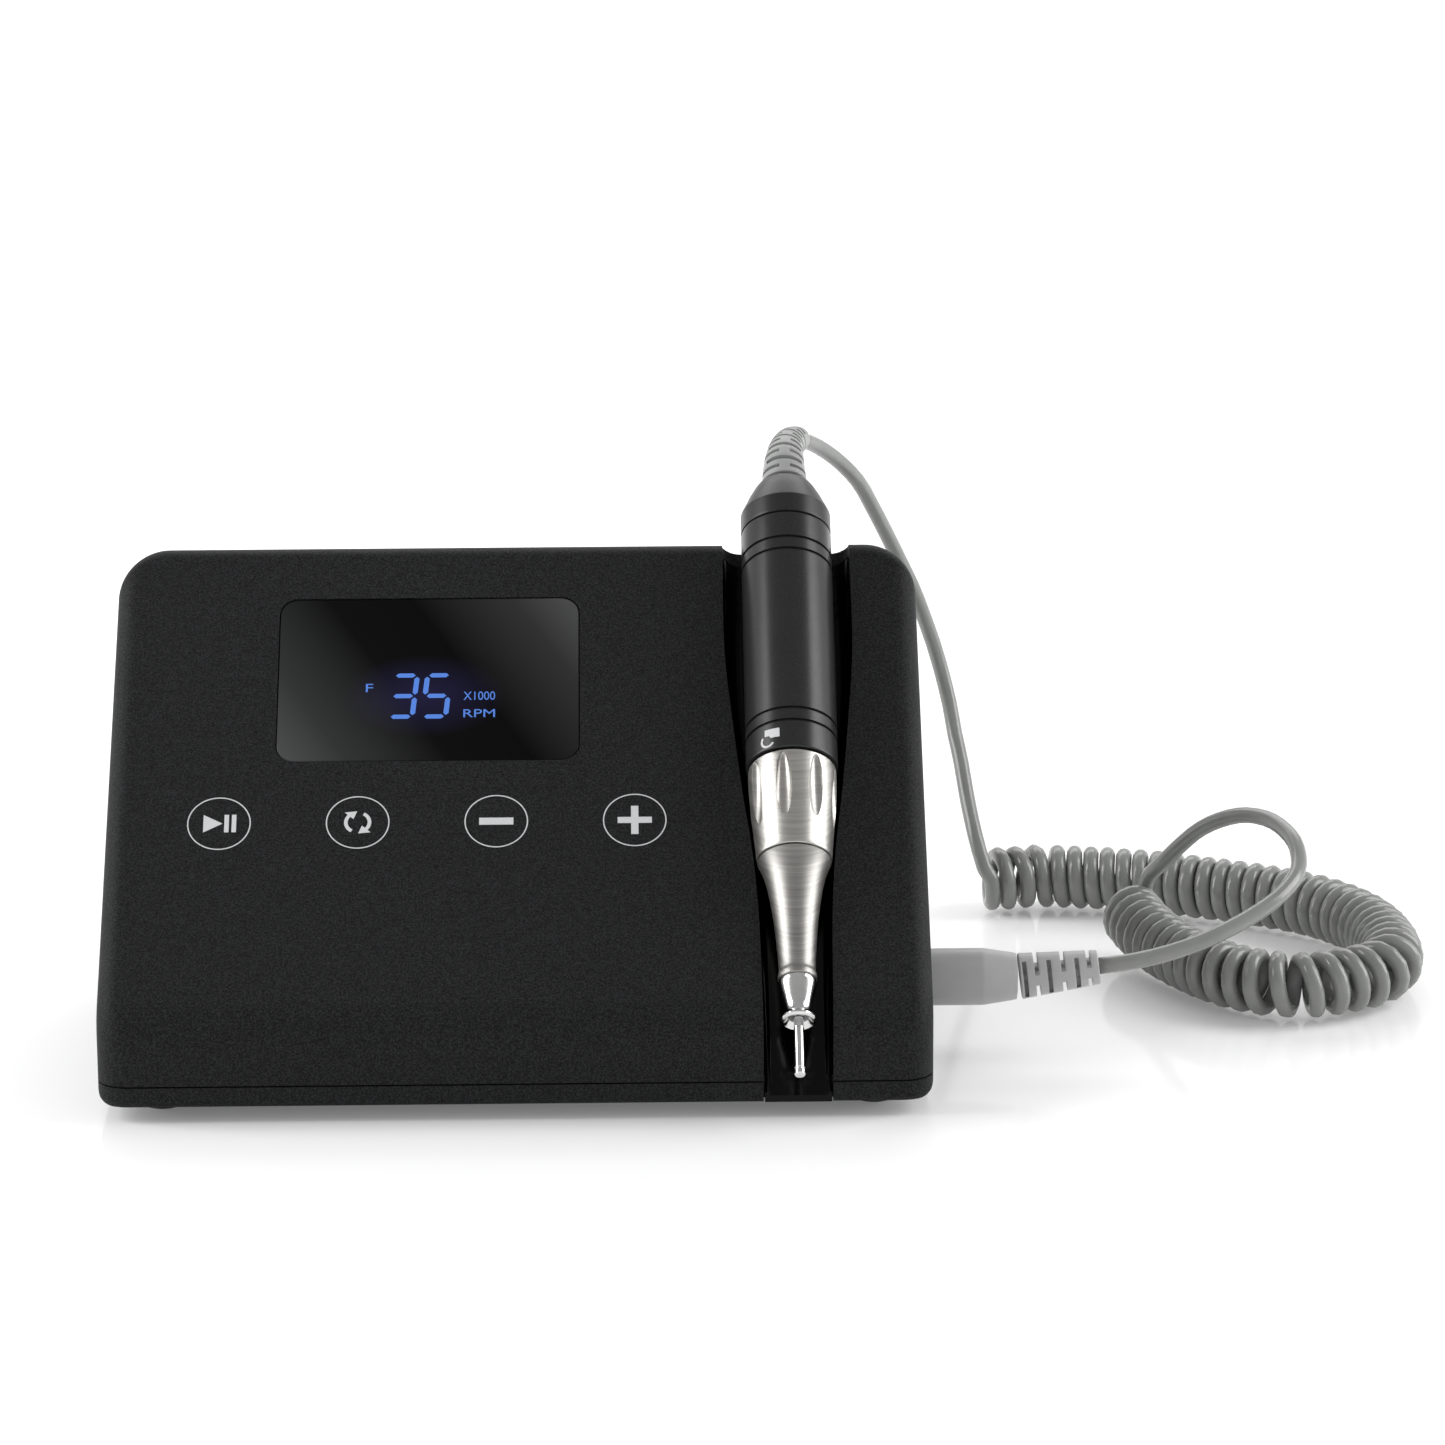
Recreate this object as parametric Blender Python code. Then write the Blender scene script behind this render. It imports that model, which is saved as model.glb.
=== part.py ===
"""Electric nail drill: wedge-shaped desktop control unit, handpiece in its cradle, and curly cord.

Metres, +Z up. X runs to the right along the front, Y runs from the front wall to the back.
The origin is on the table, at the middle of the box round the unit and its handpiece.
"""

import math

import bmesh
import bpy
from mathutils import Vector

MM = 0.001

# Control unit, measured from the front wall (y = 0) and the table (z = 0) before the final shift
CASE_WIDTH = 189.6 * MM
CASE_MIDDLE = -0.5 * MM             # the case's middle along X; the keys, cradle and handpiece are set out from 0
CASE_DEPTH = 111.4 * MM
FACE_ANGLE = math.radians(38.5)     # slope of the control face
BEND_HEIGHT = 23.2 * MM             # where the face and the front wall would meet
FOOT_HEIGHT = 3.0 * MM
WALL = 3.0 * MM
FLOOR_WALL = 2.0 * MM
SPLIT_HEIGHT = 8.4 * MM             # parting line between the upper and the lower case
BEND_RADIUS = 12 * MM
TOP_RADIUS = 5 * MM
BASE_RADIUS = 2 * MM
# Rounding towards the left and right sides, of the base, the back wall, the face and the front wall
SIDE_RADII = (3.5 * MM, 12 * MM, 5 * MM, 7 * MM)
GAP = 0.3 * MM                      # running or assembly gap between neighbouring pieces

# Handpiece radii that the cradle is shaped round
BARREL_RADIUS = 10.7 * MM
GRIP_RADIUS = 10.3 * MM

# Cradle: (distance from the front wall, half width) of the trough at the control face
TROUGH_X = 63.5 * MM
TROUGH_PLAN = [(0, 7.9 * MM), (22 * MM, 8.4 * MM), (37 * MM, GRIP_RADIUS - 0.6 * MM),
               (48 * MM, GRIP_RADIUS + 1.1 * MM), (64 * MM, BARREL_RADIUS + 2.7 * MM),
               (82 * MM, BARREL_RADIUS + 4.4 * MM), (106 * MM, BARREL_RADIUS + 4.4 * MM)]
TROUGH_FLOOR_FRONT = 4.6 * MM
TROUGH_FLOOR_ANGLE = math.radians(41.6)
TROUGH_FILLET = (2 * MM, 4.5 * MM)  # floor corner radius at the front and at the back
LINER_WALL = 1.5 * MM

# Display window and touch keys, in face coordinates (x, distance up the slope from the bend)
WINDOW_SIZE = (70.5 * MM, 47.0 * MM)
WINDOW_CENTRE = (-21.1 * MM, 95.9 * MM)
WINDOW_CORNER = 4.5 * MM
WINDOW_THICKNESS = 1.8 * MM
WINDOW_LEDGE = 4 * MM
KEY_X = [-68.9 * MM + i * 31.95 * MM for i in range(4)]
KEY_UP = 55 * MM
KEY_RADIUS = 6.5 * MM

# Handpiece: the axis starts at the tip of the bit's shank
PEN_ANGLE = math.radians(40.5)
PEN_TIP = Vector((TROUGH_X, -10.8 * MM, BARREL_RADIUS / math.cos(PEN_ANGLE) - 0.67 * MM))
SHANK_RADIUS = 1.175 * MM           # 3/32 inch shank
SHANK_LENGTH = 44 * MM
NOSE_START = 14.0 * MM
NOSE_END = 23.4 * MM
SLEEVE_END = 56.4 * MM
GRIP_END = 81.4 * MM
BARREL_END = 148.3 * MM
PEN_END = 163.0 * MM
BARREL_WALL = 1.3 * MM
GRIP_WALL = 2.7 * MM
GROOVES = (89.0 * MM, 92.4 * MM, 137.6 * MM, 141.0 * MM)
GROOVE_DEPTH = 0.45 * MM
FLUTES = 8
FLUTE_LENGTH = 19.6 * MM
FLUTE_WIDTH = 3.8 * MM
FLUTE_MIDDLE = 69 * MM
FLUTE_PHASE = math.radians(12.5)
CAP_RIM_RADIUS = 5.6 * MM
SPINDLE_RADIUS = 2.2 * MM
COLLET_BORE = 1.4 * MM
MOTOR_RADIUS = 8.9 * MM
MOTOR_START = 100 * MM
MOTOR_END = 138 * MM

# Handpiece socket in the right wall, and the plug in it
SOCKET_Y = 43.2 * MM
SOCKET_Z = 18.6 * MM
SOCKET_RADIUS = 6.5 * MM
PLUG_RADIUS = 6.65 * MM
PLUG_NECK_RADIUS = 5.45 * MM
PLUG_LENGTH = 13.2 * MM
PLUG_TAPER = 8 * MM
CONTACT_RADIUS = 3.0 * MM
CONTACT_LENGTH = 11 * MM
RELIEF_LENGTH = 18.5 * MM
RELIEF_TILT = math.radians(6.4)

# Cord
CORD_RADIUS = 2 * MM
COIL_RADIUS = 8 * MM
BOOT_RADII = (5.5 * MM, 3.3 * MM)

# Routes in millimetres, from the middle of the handpiece's rear rim to the boot's and lead's own points
BOOT_ROUTE = [(0, 0.3, 0.25), (0, 4.45, 3.25), (0.3, 9.05, 5.25), (0.9, 14.15, 6.25), (2.1, 19.35, 6.65),
              (3.9, 24.15, 6.05)]
LEAD_ROUTE = [(4.1, 24.5, 5.95), (6.8, 30.25, 3.85), (10.5, 36.25, 0.55), (15, 42.25, -4.25),
              (19.6, 47.85, -10.45), (23, 51.85, -17.25), (26.8, 55.85, -25.45), (30.4, 58.85, -33.45),
              (33.9, 60.85, -41.25), (36.7, 61.85, -48.85), (39.2, 61.85, -56.15), (41.4, 61.35, -63.85),
              (43.2, 58.85, -71.35), (44.2, 55.85, -77.25), (45.6, 52.35, -83.65), (46.7, 46.85, -92.55),
              (47.2, 43.35, -99.35), (46.8, 40.85, -105.85), (47.3, 39.55, -110.65), (49.9, 39.35, -111.65)]

# Routes in millimetres, across from the right wall, back from the front wall and up from the table
COIL_ROUTE = [(20.9, 152.5, 8.2), (27.7, 153.6, 8.2), (34.7, 155, 8.2), (49.3, 152.6, 8.2), (64.1, 148.7, 8.2),
              (73.7, 144.2, 8.2), (87.9, 137.1, 8.2), (101.7, 126.8, 8.2), (111.1, 111.9, 8.2), (114.4, 93.6, 8.2),
              (111.8, 78.2, 8.2), (101.1, 69.3, 8.2), (87.7, 66, 8.2), (74.2, 73.9, 8.2), (63.7, 89.2, 8.4),
              (57.5, 102, 9.5), (53.7, 114.8, 11)]
PLUG_LEAD_ROUTE = [(41.1, 43.2, 21), (46.5, 43.3, 21.6), (52.3, 44, 22.5), (58.2, 45, 23.8), (64.2, 46.5, 25.4),
                   (70.2, 49, 27.3), (76.4, 53, 29.3), (82.8, 58, 31.9), (87.4, 64, 34.4), (89.6, 70, 36.7),
                   (89.6, 77, 39.5), (87.7, 84, 41.1), (84.4, 91, 41.8), (79.5, 97, 41.1), (74.5, 102, 38.6),
                   (69.6, 106, 34.9), (65.1, 109, 29.9), (61.5, 112, 24.2), (58.9, 115.4, 19.6)]
LEAD_MEETS_COIL = Vector((19.1, 152.5, 7.6)) * MM   # where the lead's last point is to end, from the right wall

# Electronics, mains inlet side
BOARD_BOX = ((-80 * MM, 14 * MM, 12 * MM), (40 * MM, 96 * MM, 13.6 * MM))
BOARD_POSTS = [(x * MM, y * MM) for x in (-72, 32) for y in (24, 88)]
BOSS_RADIUS = 4 * MM
BOSS_X = max(CASE_WIDTH / 2 - 8.8 * MM, TROUGH_X + BARREL_RADIUS + 4.4 * MM + LINER_WALL + GAP + BOSS_RADIUS)
BOSSES = [(x, y * MM) for x in (-BOSS_X, BOSS_X) for y in (27, 88)]
FEET = [(x * MM, y * MM) for x in (-81, 81) for y in (13, 98)]
FOOT_RADIUS = 5.5 * MM
INLET_X, INLET_Z = -62 * MM, 22 * MM
SWITCH_X, SWITCH_Z = -32 * MM, 22 * MM
ROCKER_TILT = math.radians(8)

# The origin sits at the middle of the box round the unit and the handpiece
PEN_FRONT = PEN_TIP.y - SHANK_RADIUS * math.sin(PEN_ANGLE)
PEN_BACK = PEN_TIP.y + PEN_END * math.cos(PEN_ANGLE) + CAP_RIM_RADIUS * math.sin(PEN_ANGLE)
SHIFT_Y = -(min(PEN_FRONT, 0) + max(PEN_BACK, CASE_DEPTH)) / 2


def material(name, colour, roughness, metallic=0.0):
    made = bpy.data.materials.new(name)
    made.use_nodes = True
    shader = made.node_tree.nodes["Principled BSDF"]
    shader.inputs["Base Color"].default_value = (*colour, 1)
    shader.inputs["Roughness"].default_value = roughness
    shader.inputs["Metallic"].default_value = metallic
    return made


def place(name, data, parent, finish=None, location=(0, 0, 0), rotation=(0, 0, 0)):
    made = bpy.data.objects.new(name, data)
    bpy.context.collection.objects.link(made)
    made.parent = parent
    made.location = location
    made.rotation_euler = rotation
    if finish:
        data.materials.append(material(name, *finish))
    else:
        made.hide_render = True
        made.display_type = "WIRE"
    return made


def empty(name, parent, location, rotation=(0, 0, 0)):
    made = bpy.data.objects.new(name, None)
    bpy.context.collection.objects.link(made)
    made.parent = parent
    made.location = location
    made.rotation_euler = rotation
    return made


def finish_mesh(name, bm, smooth=True):
    bmesh.ops.recalc_face_normals(bm, faces=bm.faces)
    mesh = bpy.data.meshes.new(name)
    bm.to_mesh(mesh)
    bm.free()
    if smooth:
        mesh.shade_smooth()
        mesh.set_sharp_from_angle(angle=math.radians(35))
    return mesh


def loft(name, rings):
    """A closed body through rings of the same number of points, capped at both ends."""
    bm = bmesh.new()
    loops = [[bm.verts.new(point) for point in ring] for ring in rings]
    count = len(loops[0])
    for low, high in zip(loops, loops[1:]):
        for i in range(count):
            j = (i + 1) % count
            bm.faces.new((low[i], low[j], high[j], high[i]))
    bm.faces.new(reversed(loops[0]))
    bm.faces.new(loops[-1])
    return finish_mesh(name, bm)


def box_mesh(name, low, high):
    ring = [(low[0], low[1]), (high[0], low[1]), (high[0], high[1]), (low[0], high[1])]
    return loft(name, [[(x, y, z) for x, y in ring] for z in (low[2], high[2])])


def prism_x(name, outline, x_low, x_high):
    """An outline in (y, z) pushed along X."""
    return loft(name, [[(x, y, z) for y, z in outline] for x in (x_low, x_high)])


def lathe(name, profile, segments=24):
    """A profile of (radius, height) turned round Z. It is closed, or ends on the axis at both ends."""
    bm = bmesh.new()
    loops = []
    for radius, height in profile:
        if radius == 0:
            loops.append([bm.verts.new((0, 0, height))])
        else:
            turn = [2 * math.pi * k / segments for k in range(segments)]
            loops.append([bm.verts.new((radius * math.cos(a), radius * math.sin(a), height)) for a in turn])
    pairs = list(zip(loops, loops[1:]))
    if profile[0][0] > 0:
        pairs.append((loops[-1], loops[0]))
    for one, two in pairs:
        for k in range(segments):
            n = (k + 1) % segments
            corners = [one[k % len(one)], one[n % len(one)], two[n % len(two)], two[k % len(two)]]
            bm.faces.new(list(dict.fromkeys(corners)))
    return finish_mesh(name, bm)


def cut(target, cutter, operation="DIFFERENCE"):
    modifier = target.modifiers.new(cutter.name, "BOOLEAN")
    modifier.operation = operation
    modifier.solver = "EXACT"
    modifier.object = cutter


def cylinder_cutter(name, parent, radius, low, high, location, rotation=(0, 0, 0), segments=16):
    mesh = lathe(name, [(0, low), (radius, low), (radius, high), (0, high)], segments)
    return place(name, mesh, parent, location=location, rotation=rotation)


def smooth_route(points, spacing):
    """Points spaced evenly along a smooth curve through a route's points."""
    knots = [2 * points[0] - points[1], *points, 2 * points[-1] - points[-2]]
    dense = []
    for a, b, c, d in zip(knots, knots[1:], knots[2:], knots[3:]):
        for k in range(12):
            t = k / 12
            dense.append(0.5 * (2 * b + (c - a) * t + (2 * a - 5 * b + 4 * c - d) * t * t
                                + (3 * b - a - 3 * c + d) * t ** 3))
    dense.append(knots[-2])
    lengths = [0.0]
    for one, two in zip(dense, dense[1:]):
        lengths.append(lengths[-1] + (two - one).length)
    steps = max(2, round(lengths[-1] / spacing))
    route, i = [], 0
    for k in range(steps + 1):
        wanted = lengths[-1] * k / steps
        while i < len(dense) - 2 and lengths[i + 1] < wanted:
            i += 1
        share = (wanted - lengths[i]) / (lengths[i + 1] - lengths[i])
        route.append(dense[i].lerp(dense[i + 1], min(share, 1)))
    return route


def tube(name, route, radius, parent, finish, spacing, end_radius=None, resolution=2):
    points = smooth_route(route, spacing)
    curve = bpy.data.curves.new(name, "CURVE")
    curve.dimensions = "3D"
    curve.bevel_depth = radius
    curve.bevel_resolution = resolution
    curve.use_fill_caps = True
    spline = curve.splines.new("POLY")
    spline.points.add(len(points) - 1)
    for k, point in enumerate(points):
        spline.points[k].co = (*point, 1)
        if end_radius:
            spline.points[k].radius = 1 + (end_radius / radius - 1) * k / (len(points) - 1)
    return place(name, curve, parent, finish)


def face_height(y):
    return BEND_HEIGHT + y * math.tan(FACE_ANGLE)


def rounded_outline(corners, radii, inset, segments):
    """A convex outline, anticlockwise, moved inwards by the inset and rounded at its corners."""
    count = len(corners)
    edges = []
    for i in range(count):
        start, end = Vector(corners[i]), Vector(corners[(i + 1) % count])
        along = (end - start).normalized()
        edges.append((start + Vector((-along.y, along.x)) * inset[i], along))
    outline = []
    for i in range(count):
        (p, u), (q, v) = edges[i - 1], edges[i]
        cross = u.x * v.y - u.y * v.x
        share = ((q.x - p.x) * v.y - (q.y - p.y) * v.x) / cross
        corner = p + u * share
        turn = math.acos(max(-1, min(1, u.dot(v))))
        radius = max(radii[i] - min(inset[i - 1], inset[i]), 0.3 * MM)
        back = radius * math.tan(turn / 2)
        centre = corner - u * back + Vector((-u.y, u.x)) * radius
        first = math.atan2(-u.x, u.y)
        for k in range(segments + 1):
            angle = first + turn * k / segments
            outline.append((centre.x + radius * math.cos(angle), centre.y + radius * math.sin(angle)))
    return outline


def case_outline(insets):
    """Side view (y, z) of the case, moved in from its base, back wall, control face and front wall."""
    corners = [(0, FOOT_HEIGHT), (CASE_DEPTH, FOOT_HEIGHT), (CASE_DEPTH, face_height(CASE_DEPTH)), (0, BEND_HEIGHT)]
    radii = [BASE_RADIUS, BASE_RADIUS, TOP_RADIUS, BEND_RADIUS]
    return rounded_outline(corners, radii, insets, 4)


def round_inset(radius, distance):
    """How far a quarter round of this radius has fallen in at a distance from the side."""
    if distance >= radius:
        return 0.0
    return radius - math.sqrt(radius ** 2 - (radius - distance) ** 2)


def case_body(name, wall, floor_wall):
    """The wedge with its side edges rounded, moved inwards by a wall thickness."""
    half = CASE_WIDTH / 2 - wall
    radii = [max(radius - wall, 0.5 * MM) for radius in SIDE_RADII]
    walls = [floor_wall, wall, wall, wall]
    steps = 6
    distances = [max(radii) * (1 - math.cos(math.pi / 2 * k / steps)) for k in range(steps + 1)]
    rings = []
    for side in (-1, 1):
        for distance in distances if side < 0 else reversed(distances):
            insets = [w + round_inset(r, distance) for w, r in zip(walls, radii)]
            x = CASE_MIDDLE + side * (half - distance)
            rings.append([(x, y, z) for y, z in case_outline(insets)])
    return loft(name, rings)


def trough_half_width(y):
    stations = TROUGH_PLAN
    if y <= stations[0][0]:
        return stations[0][1]
    for (y0, w0), (y1, w1) in zip(stations, stations[1:]):
        if y <= y1:
            return w0 + (w1 - w0) * (y - y0) / (y1 - y0)
    return stations[-1][1]


def trough_floor(y):
    return TROUGH_FLOOR_FRONT + y * math.tan(TROUGH_FLOOR_ANGLE)


def trough_body(name, grow):
    """The U-shaped space of the cradle, larger all round by a thickness, open at the top."""
    stations = [-4 * MM, *(a for a, _ in TROUGH_PLAN), CASE_DEPTH + 4 * MM]
    top = face_height(CASE_DEPTH) + 10 * MM
    rings = []
    for y in stations:
        half = trough_half_width(y) + grow
        low = trough_floor(y) - grow / math.cos(TROUGH_FLOOR_ANGLE)
        share = min(max(y / CASE_DEPTH, 0), 1)
        fillet = TROUGH_FILLET[0] + (TROUGH_FILLET[1] - TROUGH_FILLET[0]) * share + grow
        ring = [(TROUGH_X - half, y, top)]
        for k in range(5):
            turn = math.pi / 2 * k / 4
            ring.append((TROUGH_X - half + fillet * (1 - math.cos(turn)), y, low + fillet * (1 - math.sin(turn))))
        for k in range(5):
            turn = math.pi / 2 * (1 - k / 4)
            ring.append((TROUGH_X + half - fillet * (1 - math.cos(turn)), y, low + fillet * (1 - math.sin(turn))))
        ring.append((TROUGH_X + half, y, top))
        rings.append(ring)
    return loft(name, rings)


def plate(name, size, corner, low, high, parent, finish=None, location=(0, 0, 0), segments=4):
    """A flat plate with rounded corners, between two heights along its own Z."""
    w, h = size[0] / 2, size[1] / 2
    corners = [(-w, -h), (w, -h), (w, h), (-w, h)]
    outline = rounded_outline(corners, [corner] * 4, [0] * 4, segments)
    mesh = loft(name, [[(x, y, z) for x, y in outline] for z in (low, high)])
    return place(name, mesh, parent, finish, location)


BLACK = ((0.021, 0.022, 0.023), 0.55)
GLOSS_BLACK = ((0.012, 0.012, 0.013), 0.12)
SMOKED = ((0.02, 0.022, 0.024), 0.05)
RUBBER = ((0.05, 0.05, 0.05), 0.8)
BOARD_GREEN = ((0.02, 0.12, 0.05), 0.5)
COPPER = ((0.72, 0.4, 0.22), 0.35, 1.0)
STEEL = ((0.6, 0.6, 0.6), 0.3, 1.0)
SATIN_STEEL = ((0.55, 0.54, 0.52), 0.32, 1.0)
POLISHED = ((0.7, 0.7, 0.7), 0.08, 1.0)
ANODISED = ((0.03, 0.03, 0.032), 0.35, 0.6)
BRASS = ((0.75, 0.58, 0.3), 0.3, 1.0)
CORD_GREY = ((0.33, 0.34, 0.33), 0.35)


def case_shells(unit, face):
    outer = place("outer_form", case_body("outer_form", 0, 0), unit)
    hollow = place("inner_form", case_body("inner_form", WALL, FLOOR_WALL), unit)
    wide = CASE_WIDTH
    above = place("above_split", box_mesh("above_split", (-wide, -wide, SPLIT_HEIGHT), (wide, wide, wide)), unit)
    below_top = SPLIT_HEIGHT - GAP
    below = place("below_split", box_mesh("below_split", (-wide, -wide, -wide), (wide, wide, below_top)), unit)
    trough = place("trough_space", trough_body("trough_space", 0), unit)

    upper = place("upper_case", outer.data.copy(), unit, BLACK)
    cut(upper, above, "INTERSECT")
    cut(upper, hollow)
    lower = place("lower_case", outer.data.copy(), unit, BLACK)
    cut(lower, below, "INTERSECT")
    cut(lower, hollow)

    for i, (x, y) in enumerate(BOSSES, 1):
        reach = face_height(y - 4 * MM) - 2 * MM
        post = cylinder_cutter(f"upper_boss_{i}", unit, BOSS_RADIUS, SPLIT_HEIGHT, reach, (x, y, 0), segments=12)
        cut(upper, post, "UNION")
        cut(upper, cylinder_cutter(f"upper_pilot_{i}", unit, 1.6 * MM, 0, 19 * MM, (x, y, 0), segments=12))
        base = cylinder_cutter(f"lower_boss_{i}", unit, BOSS_RADIUS, FOOT_HEIGHT + 1 * MM, below_top, (x, y, 0),
                               segments=12)
        cut(lower, base, "UNION")
        cut(lower, cylinder_cutter(f"lower_hole_{i}", unit, 1.6 * MM, 0, 12 * MM, (x, y, 0), segments=12))
        cut(lower, cylinder_cutter(f"lower_sink_{i}", unit, 3.1 * MM, 0, 5.4 * MM, (x, y, 0), segments=12))
    for i, (x, y) in enumerate(BOARD_POSTS, 1):
        post = cylinder_cutter(f"board_post_{i}", unit, 3 * MM, FOOT_HEIGHT + 1 * MM, BOARD_BOX[0][2] - GAP,
                               (x, y, 0), segments=12)
        cut(lower, post, "UNION")
        cut(lower, cylinder_cutter(f"post_hole_{i}", unit, 1.5 * MM, 7 * MM, 20 * MM, (x, y, 0), segments=12))

    cut(upper, trough)
    half = trough_half_width(0)
    notch = box_mesh("front_notch", (TROUGH_X - half, -5 * MM, -5 * MM),
                     (TROUGH_X + half, WALL + 0.9 * MM + 2 * GAP, 12 * MM))
    cut(lower, place("front_notch", notch, unit))

    recess = WINDOW_THICKNESS + 0.1 * MM + GAP
    window_size = (WINDOW_SIZE[0] + 2 * GAP, WINDOW_SIZE[1] + 2 * GAP)
    centre = (*WINDOW_CENTRE, 0)
    cut(upper, plate("window_recess", window_size, WINDOW_CORNER, -recess, 9 * MM, face, location=centre))
    opening = (WINDOW_SIZE[0] - 2 * WINDOW_LEDGE, WINDOW_SIZE[1] - 2 * WINDOW_LEDGE)
    cut(upper, plate("window_opening", opening, 2 * MM, -9 * MM, 9 * MM, face, location=centre))

    socket = cylinder_cutter("socket_hole", unit, SOCKET_RADIUS + GAP, 0, 30 * MM,
                             (CASE_MIDDLE + CASE_WIDTH / 2 - 10 * MM, SOCKET_Y, SOCKET_Z), (0, math.pi / 2, 0), 24)
    cut(upper, socket)
    for name, x, z, size in (("inlet_hole", INLET_X, INLET_Z, (14, 11)), ("switch_hole", SWITCH_X, SWITCH_Z, (15, 21))):
        w, h = size[0] * MM / 2 + GAP, size[1] * MM / 2 + GAP
        hole = box_mesh(name, (x - w, CASE_DEPTH - 9 * MM, z - h), (x + w, CASE_DEPTH + 9 * MM, z + h))
        cut(upper, place(name, hole, unit))


def cradle(unit):
    liner = place("handpiece_cradle", trough_body("handpiece_cradle", LINER_WALL), unit, GLOSS_BLACK)
    room = WALL + GAP
    limit = place("liner_limit", case_body("liner_limit", room, FLOOR_WALL + GAP), unit)
    space = place("liner_space", trough_body("liner_space", 0), unit)
    half = min(trough_half_width(room * k / 3) for k in range(5)) - 1.2 * GAP
    lip = box_mesh("liner_lip", (TROUGH_X - half, GAP, FOOT_HEIGHT + GAP),
                   (TROUGH_X + half, room + 0.9 * MM, SPLIT_HEIGHT + 1 * MM))
    cut(liner, limit, "INTERSECT")
    cut(liner, place("liner_lip", lip, unit), "UNION")
    cut(liner, space)


def window_and_keys(face):
    centre = (*WINDOW_CENTRE, 0)
    low = -WINDOW_THICKNESS - 0.1 * MM
    plate("display_window", WINDOW_SIZE, WINDOW_CORNER, low, -0.1 * MM, face, SMOKED, centre)
    inner = (WINDOW_SIZE[0] - 2 * WINDOW_LEDGE - 2 * MM, WINDOW_SIZE[1] - 2 * WINDOW_LEDGE - 2 * MM)
    back = -WALL - 4 * MM
    plate("display_module", inner, 1 * MM, back, low - 2 * GAP, face, ((0.05, 0.05, 0.05), 0.4), centre, 1)
    plate("display_board", (inner[0] + 8 * MM, inner[1] + 8 * MM), 1 * MM, back - 1.6 * MM, back - GAP, face,
          BOARD_GREEN, centre, 1)
    middle = ((KEY_X[0] + KEY_X[3]) / 2, KEY_UP, 0)
    top = -WALL - GAP
    board_top = top - 0.6 * MM - GAP
    plate("touch_board", (KEY_X[3] - KEY_X[0] + 24 * MM, 18 * MM), 1 * MM, board_top - 1.2 * MM, board_top, face,
          BOARD_GREEN, middle, 1)
    for i, x in enumerate(KEY_X, 1):
        disc = [(0, top - 0.6 * MM), (KEY_RADIUS, top - 0.6 * MM), (KEY_RADIUS, top), (0, top)]
        place(f"touch_electrode_{i}", lathe("touch_electrode", disc, 16), face, COPPER, (x, KEY_UP, 0))


def feet_and_screws(unit):
    foot = [(0, 0), (FOOT_RADIUS - 1 * MM, 0), (FOOT_RADIUS, 0.8 * MM), (FOOT_RADIUS, FOOT_HEIGHT - GAP),
            (0, FOOT_HEIGHT - GAP)]
    for i, (x, y) in enumerate(FEET, 1):
        place(f"foot_{i}", lathe("foot", foot, 20), unit, RUBBER, (x, y, 0))
    screw = [(0, 3.5 * MM), (2.8 * MM, 3.5 * MM), (2.8 * MM, 5.1 * MM), (1.3 * MM, 5.1 * MM), (1.3 * MM, 18 * MM),
             (0, 18 * MM)]
    for i, (x, y) in enumerate(BOSSES, 1):
        place(f"case_screw_{i}", lathe("case_screw", screw, 10), unit, STEEL, (x, y, 0))


def electronics(unit):
    low, high = BOARD_BOX
    board = place("main_board", box_mesh("main_board", low, high), unit, BOARD_GREEN)
    top = high[2]
    screw = [(0, 8 * MM), (1.2 * MM, 8 * MM), (1.2 * MM, top + GAP), (2.5 * MM, top + GAP), (2.5 * MM, top + 2 * MM),
             (0, top + 2 * MM)]
    for i, (x, y) in enumerate(BOARD_POSTS, 1):
        cut(board, cylinder_cutter(f"board_hole_{i}", unit, 1.5 * MM, 0, 30 * MM, (x, y, 0), segments=10))
        place(f"board_screw_{i}", lathe("board_screw", screw, 10), unit, STEEL, (x, y, 0))

    base = top + GAP
    fins, fin, pitch = 6, 1.5 * MM, 4 * MM
    outline = [(0, 0), ((fins - 1) * pitch + fin, 0)]
    for k in reversed(range(fins)):
        x = k * pitch
        outline += [(x + fin, 3 * MM if k < fins - 1 else 14 * MM)] if k < fins - 1 else []
        outline += [(x + fin, 14 * MM), (x, 14 * MM)]
        outline += [(x, 3 * MM)] if k else []
    sink = prism_x("driver_heatsink", outline, 0, 30 * MM)
    place("driver_heatsink", sink, unit, ((0.6, 0.6, 0.6), 0.5, 1.0), (-10 * MM, 54 * MM, base))
    can = [(0, base), (6 * MM, base), (6 * MM, base + 20 * MM), (0, base + 20 * MM)]
    place("filter_capacitor", lathe("filter_capacitor", can, 16), unit, ((0.03, 0.04, 0.12), 0.4),
          (-40 * MM, 66 * MM, 0))
    buzzer = [(0, base), (6 * MM, base), (6 * MM, base + 7 * MM), (1.2 * MM, base + 7 * MM),
              (1.2 * MM, base + 5 * MM), (0, base + 5 * MM)]
    place("buzzer", lathe("buzzer", buzzer, 16), unit, ((0.02, 0.02, 0.02), 0.5), (14 * MM, 34 * MM, 0))

    inlet = box_mesh("dc_inlet", (-7 * MM, -13 * MM, -5.5 * MM), (7 * MM, 0, 5.5 * MM))
    inlet = place("dc_inlet", inlet, unit, BLACK, (INLET_X, CASE_DEPTH, INLET_Z))
    bore = lathe("inlet_bore", [(1 * MM, 0), (3.2 * MM, 0), (3.2 * MM, 20 * MM), (1 * MM, 20 * MM)], 16)
    place("inlet_bore", bore, unit, location=(INLET_X, CASE_DEPTH - 10 * MM, INLET_Z), rotation=(-math.pi / 2, 0, 0))
    cut(inlet, bpy.data.objects["inlet_bore"])


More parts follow.
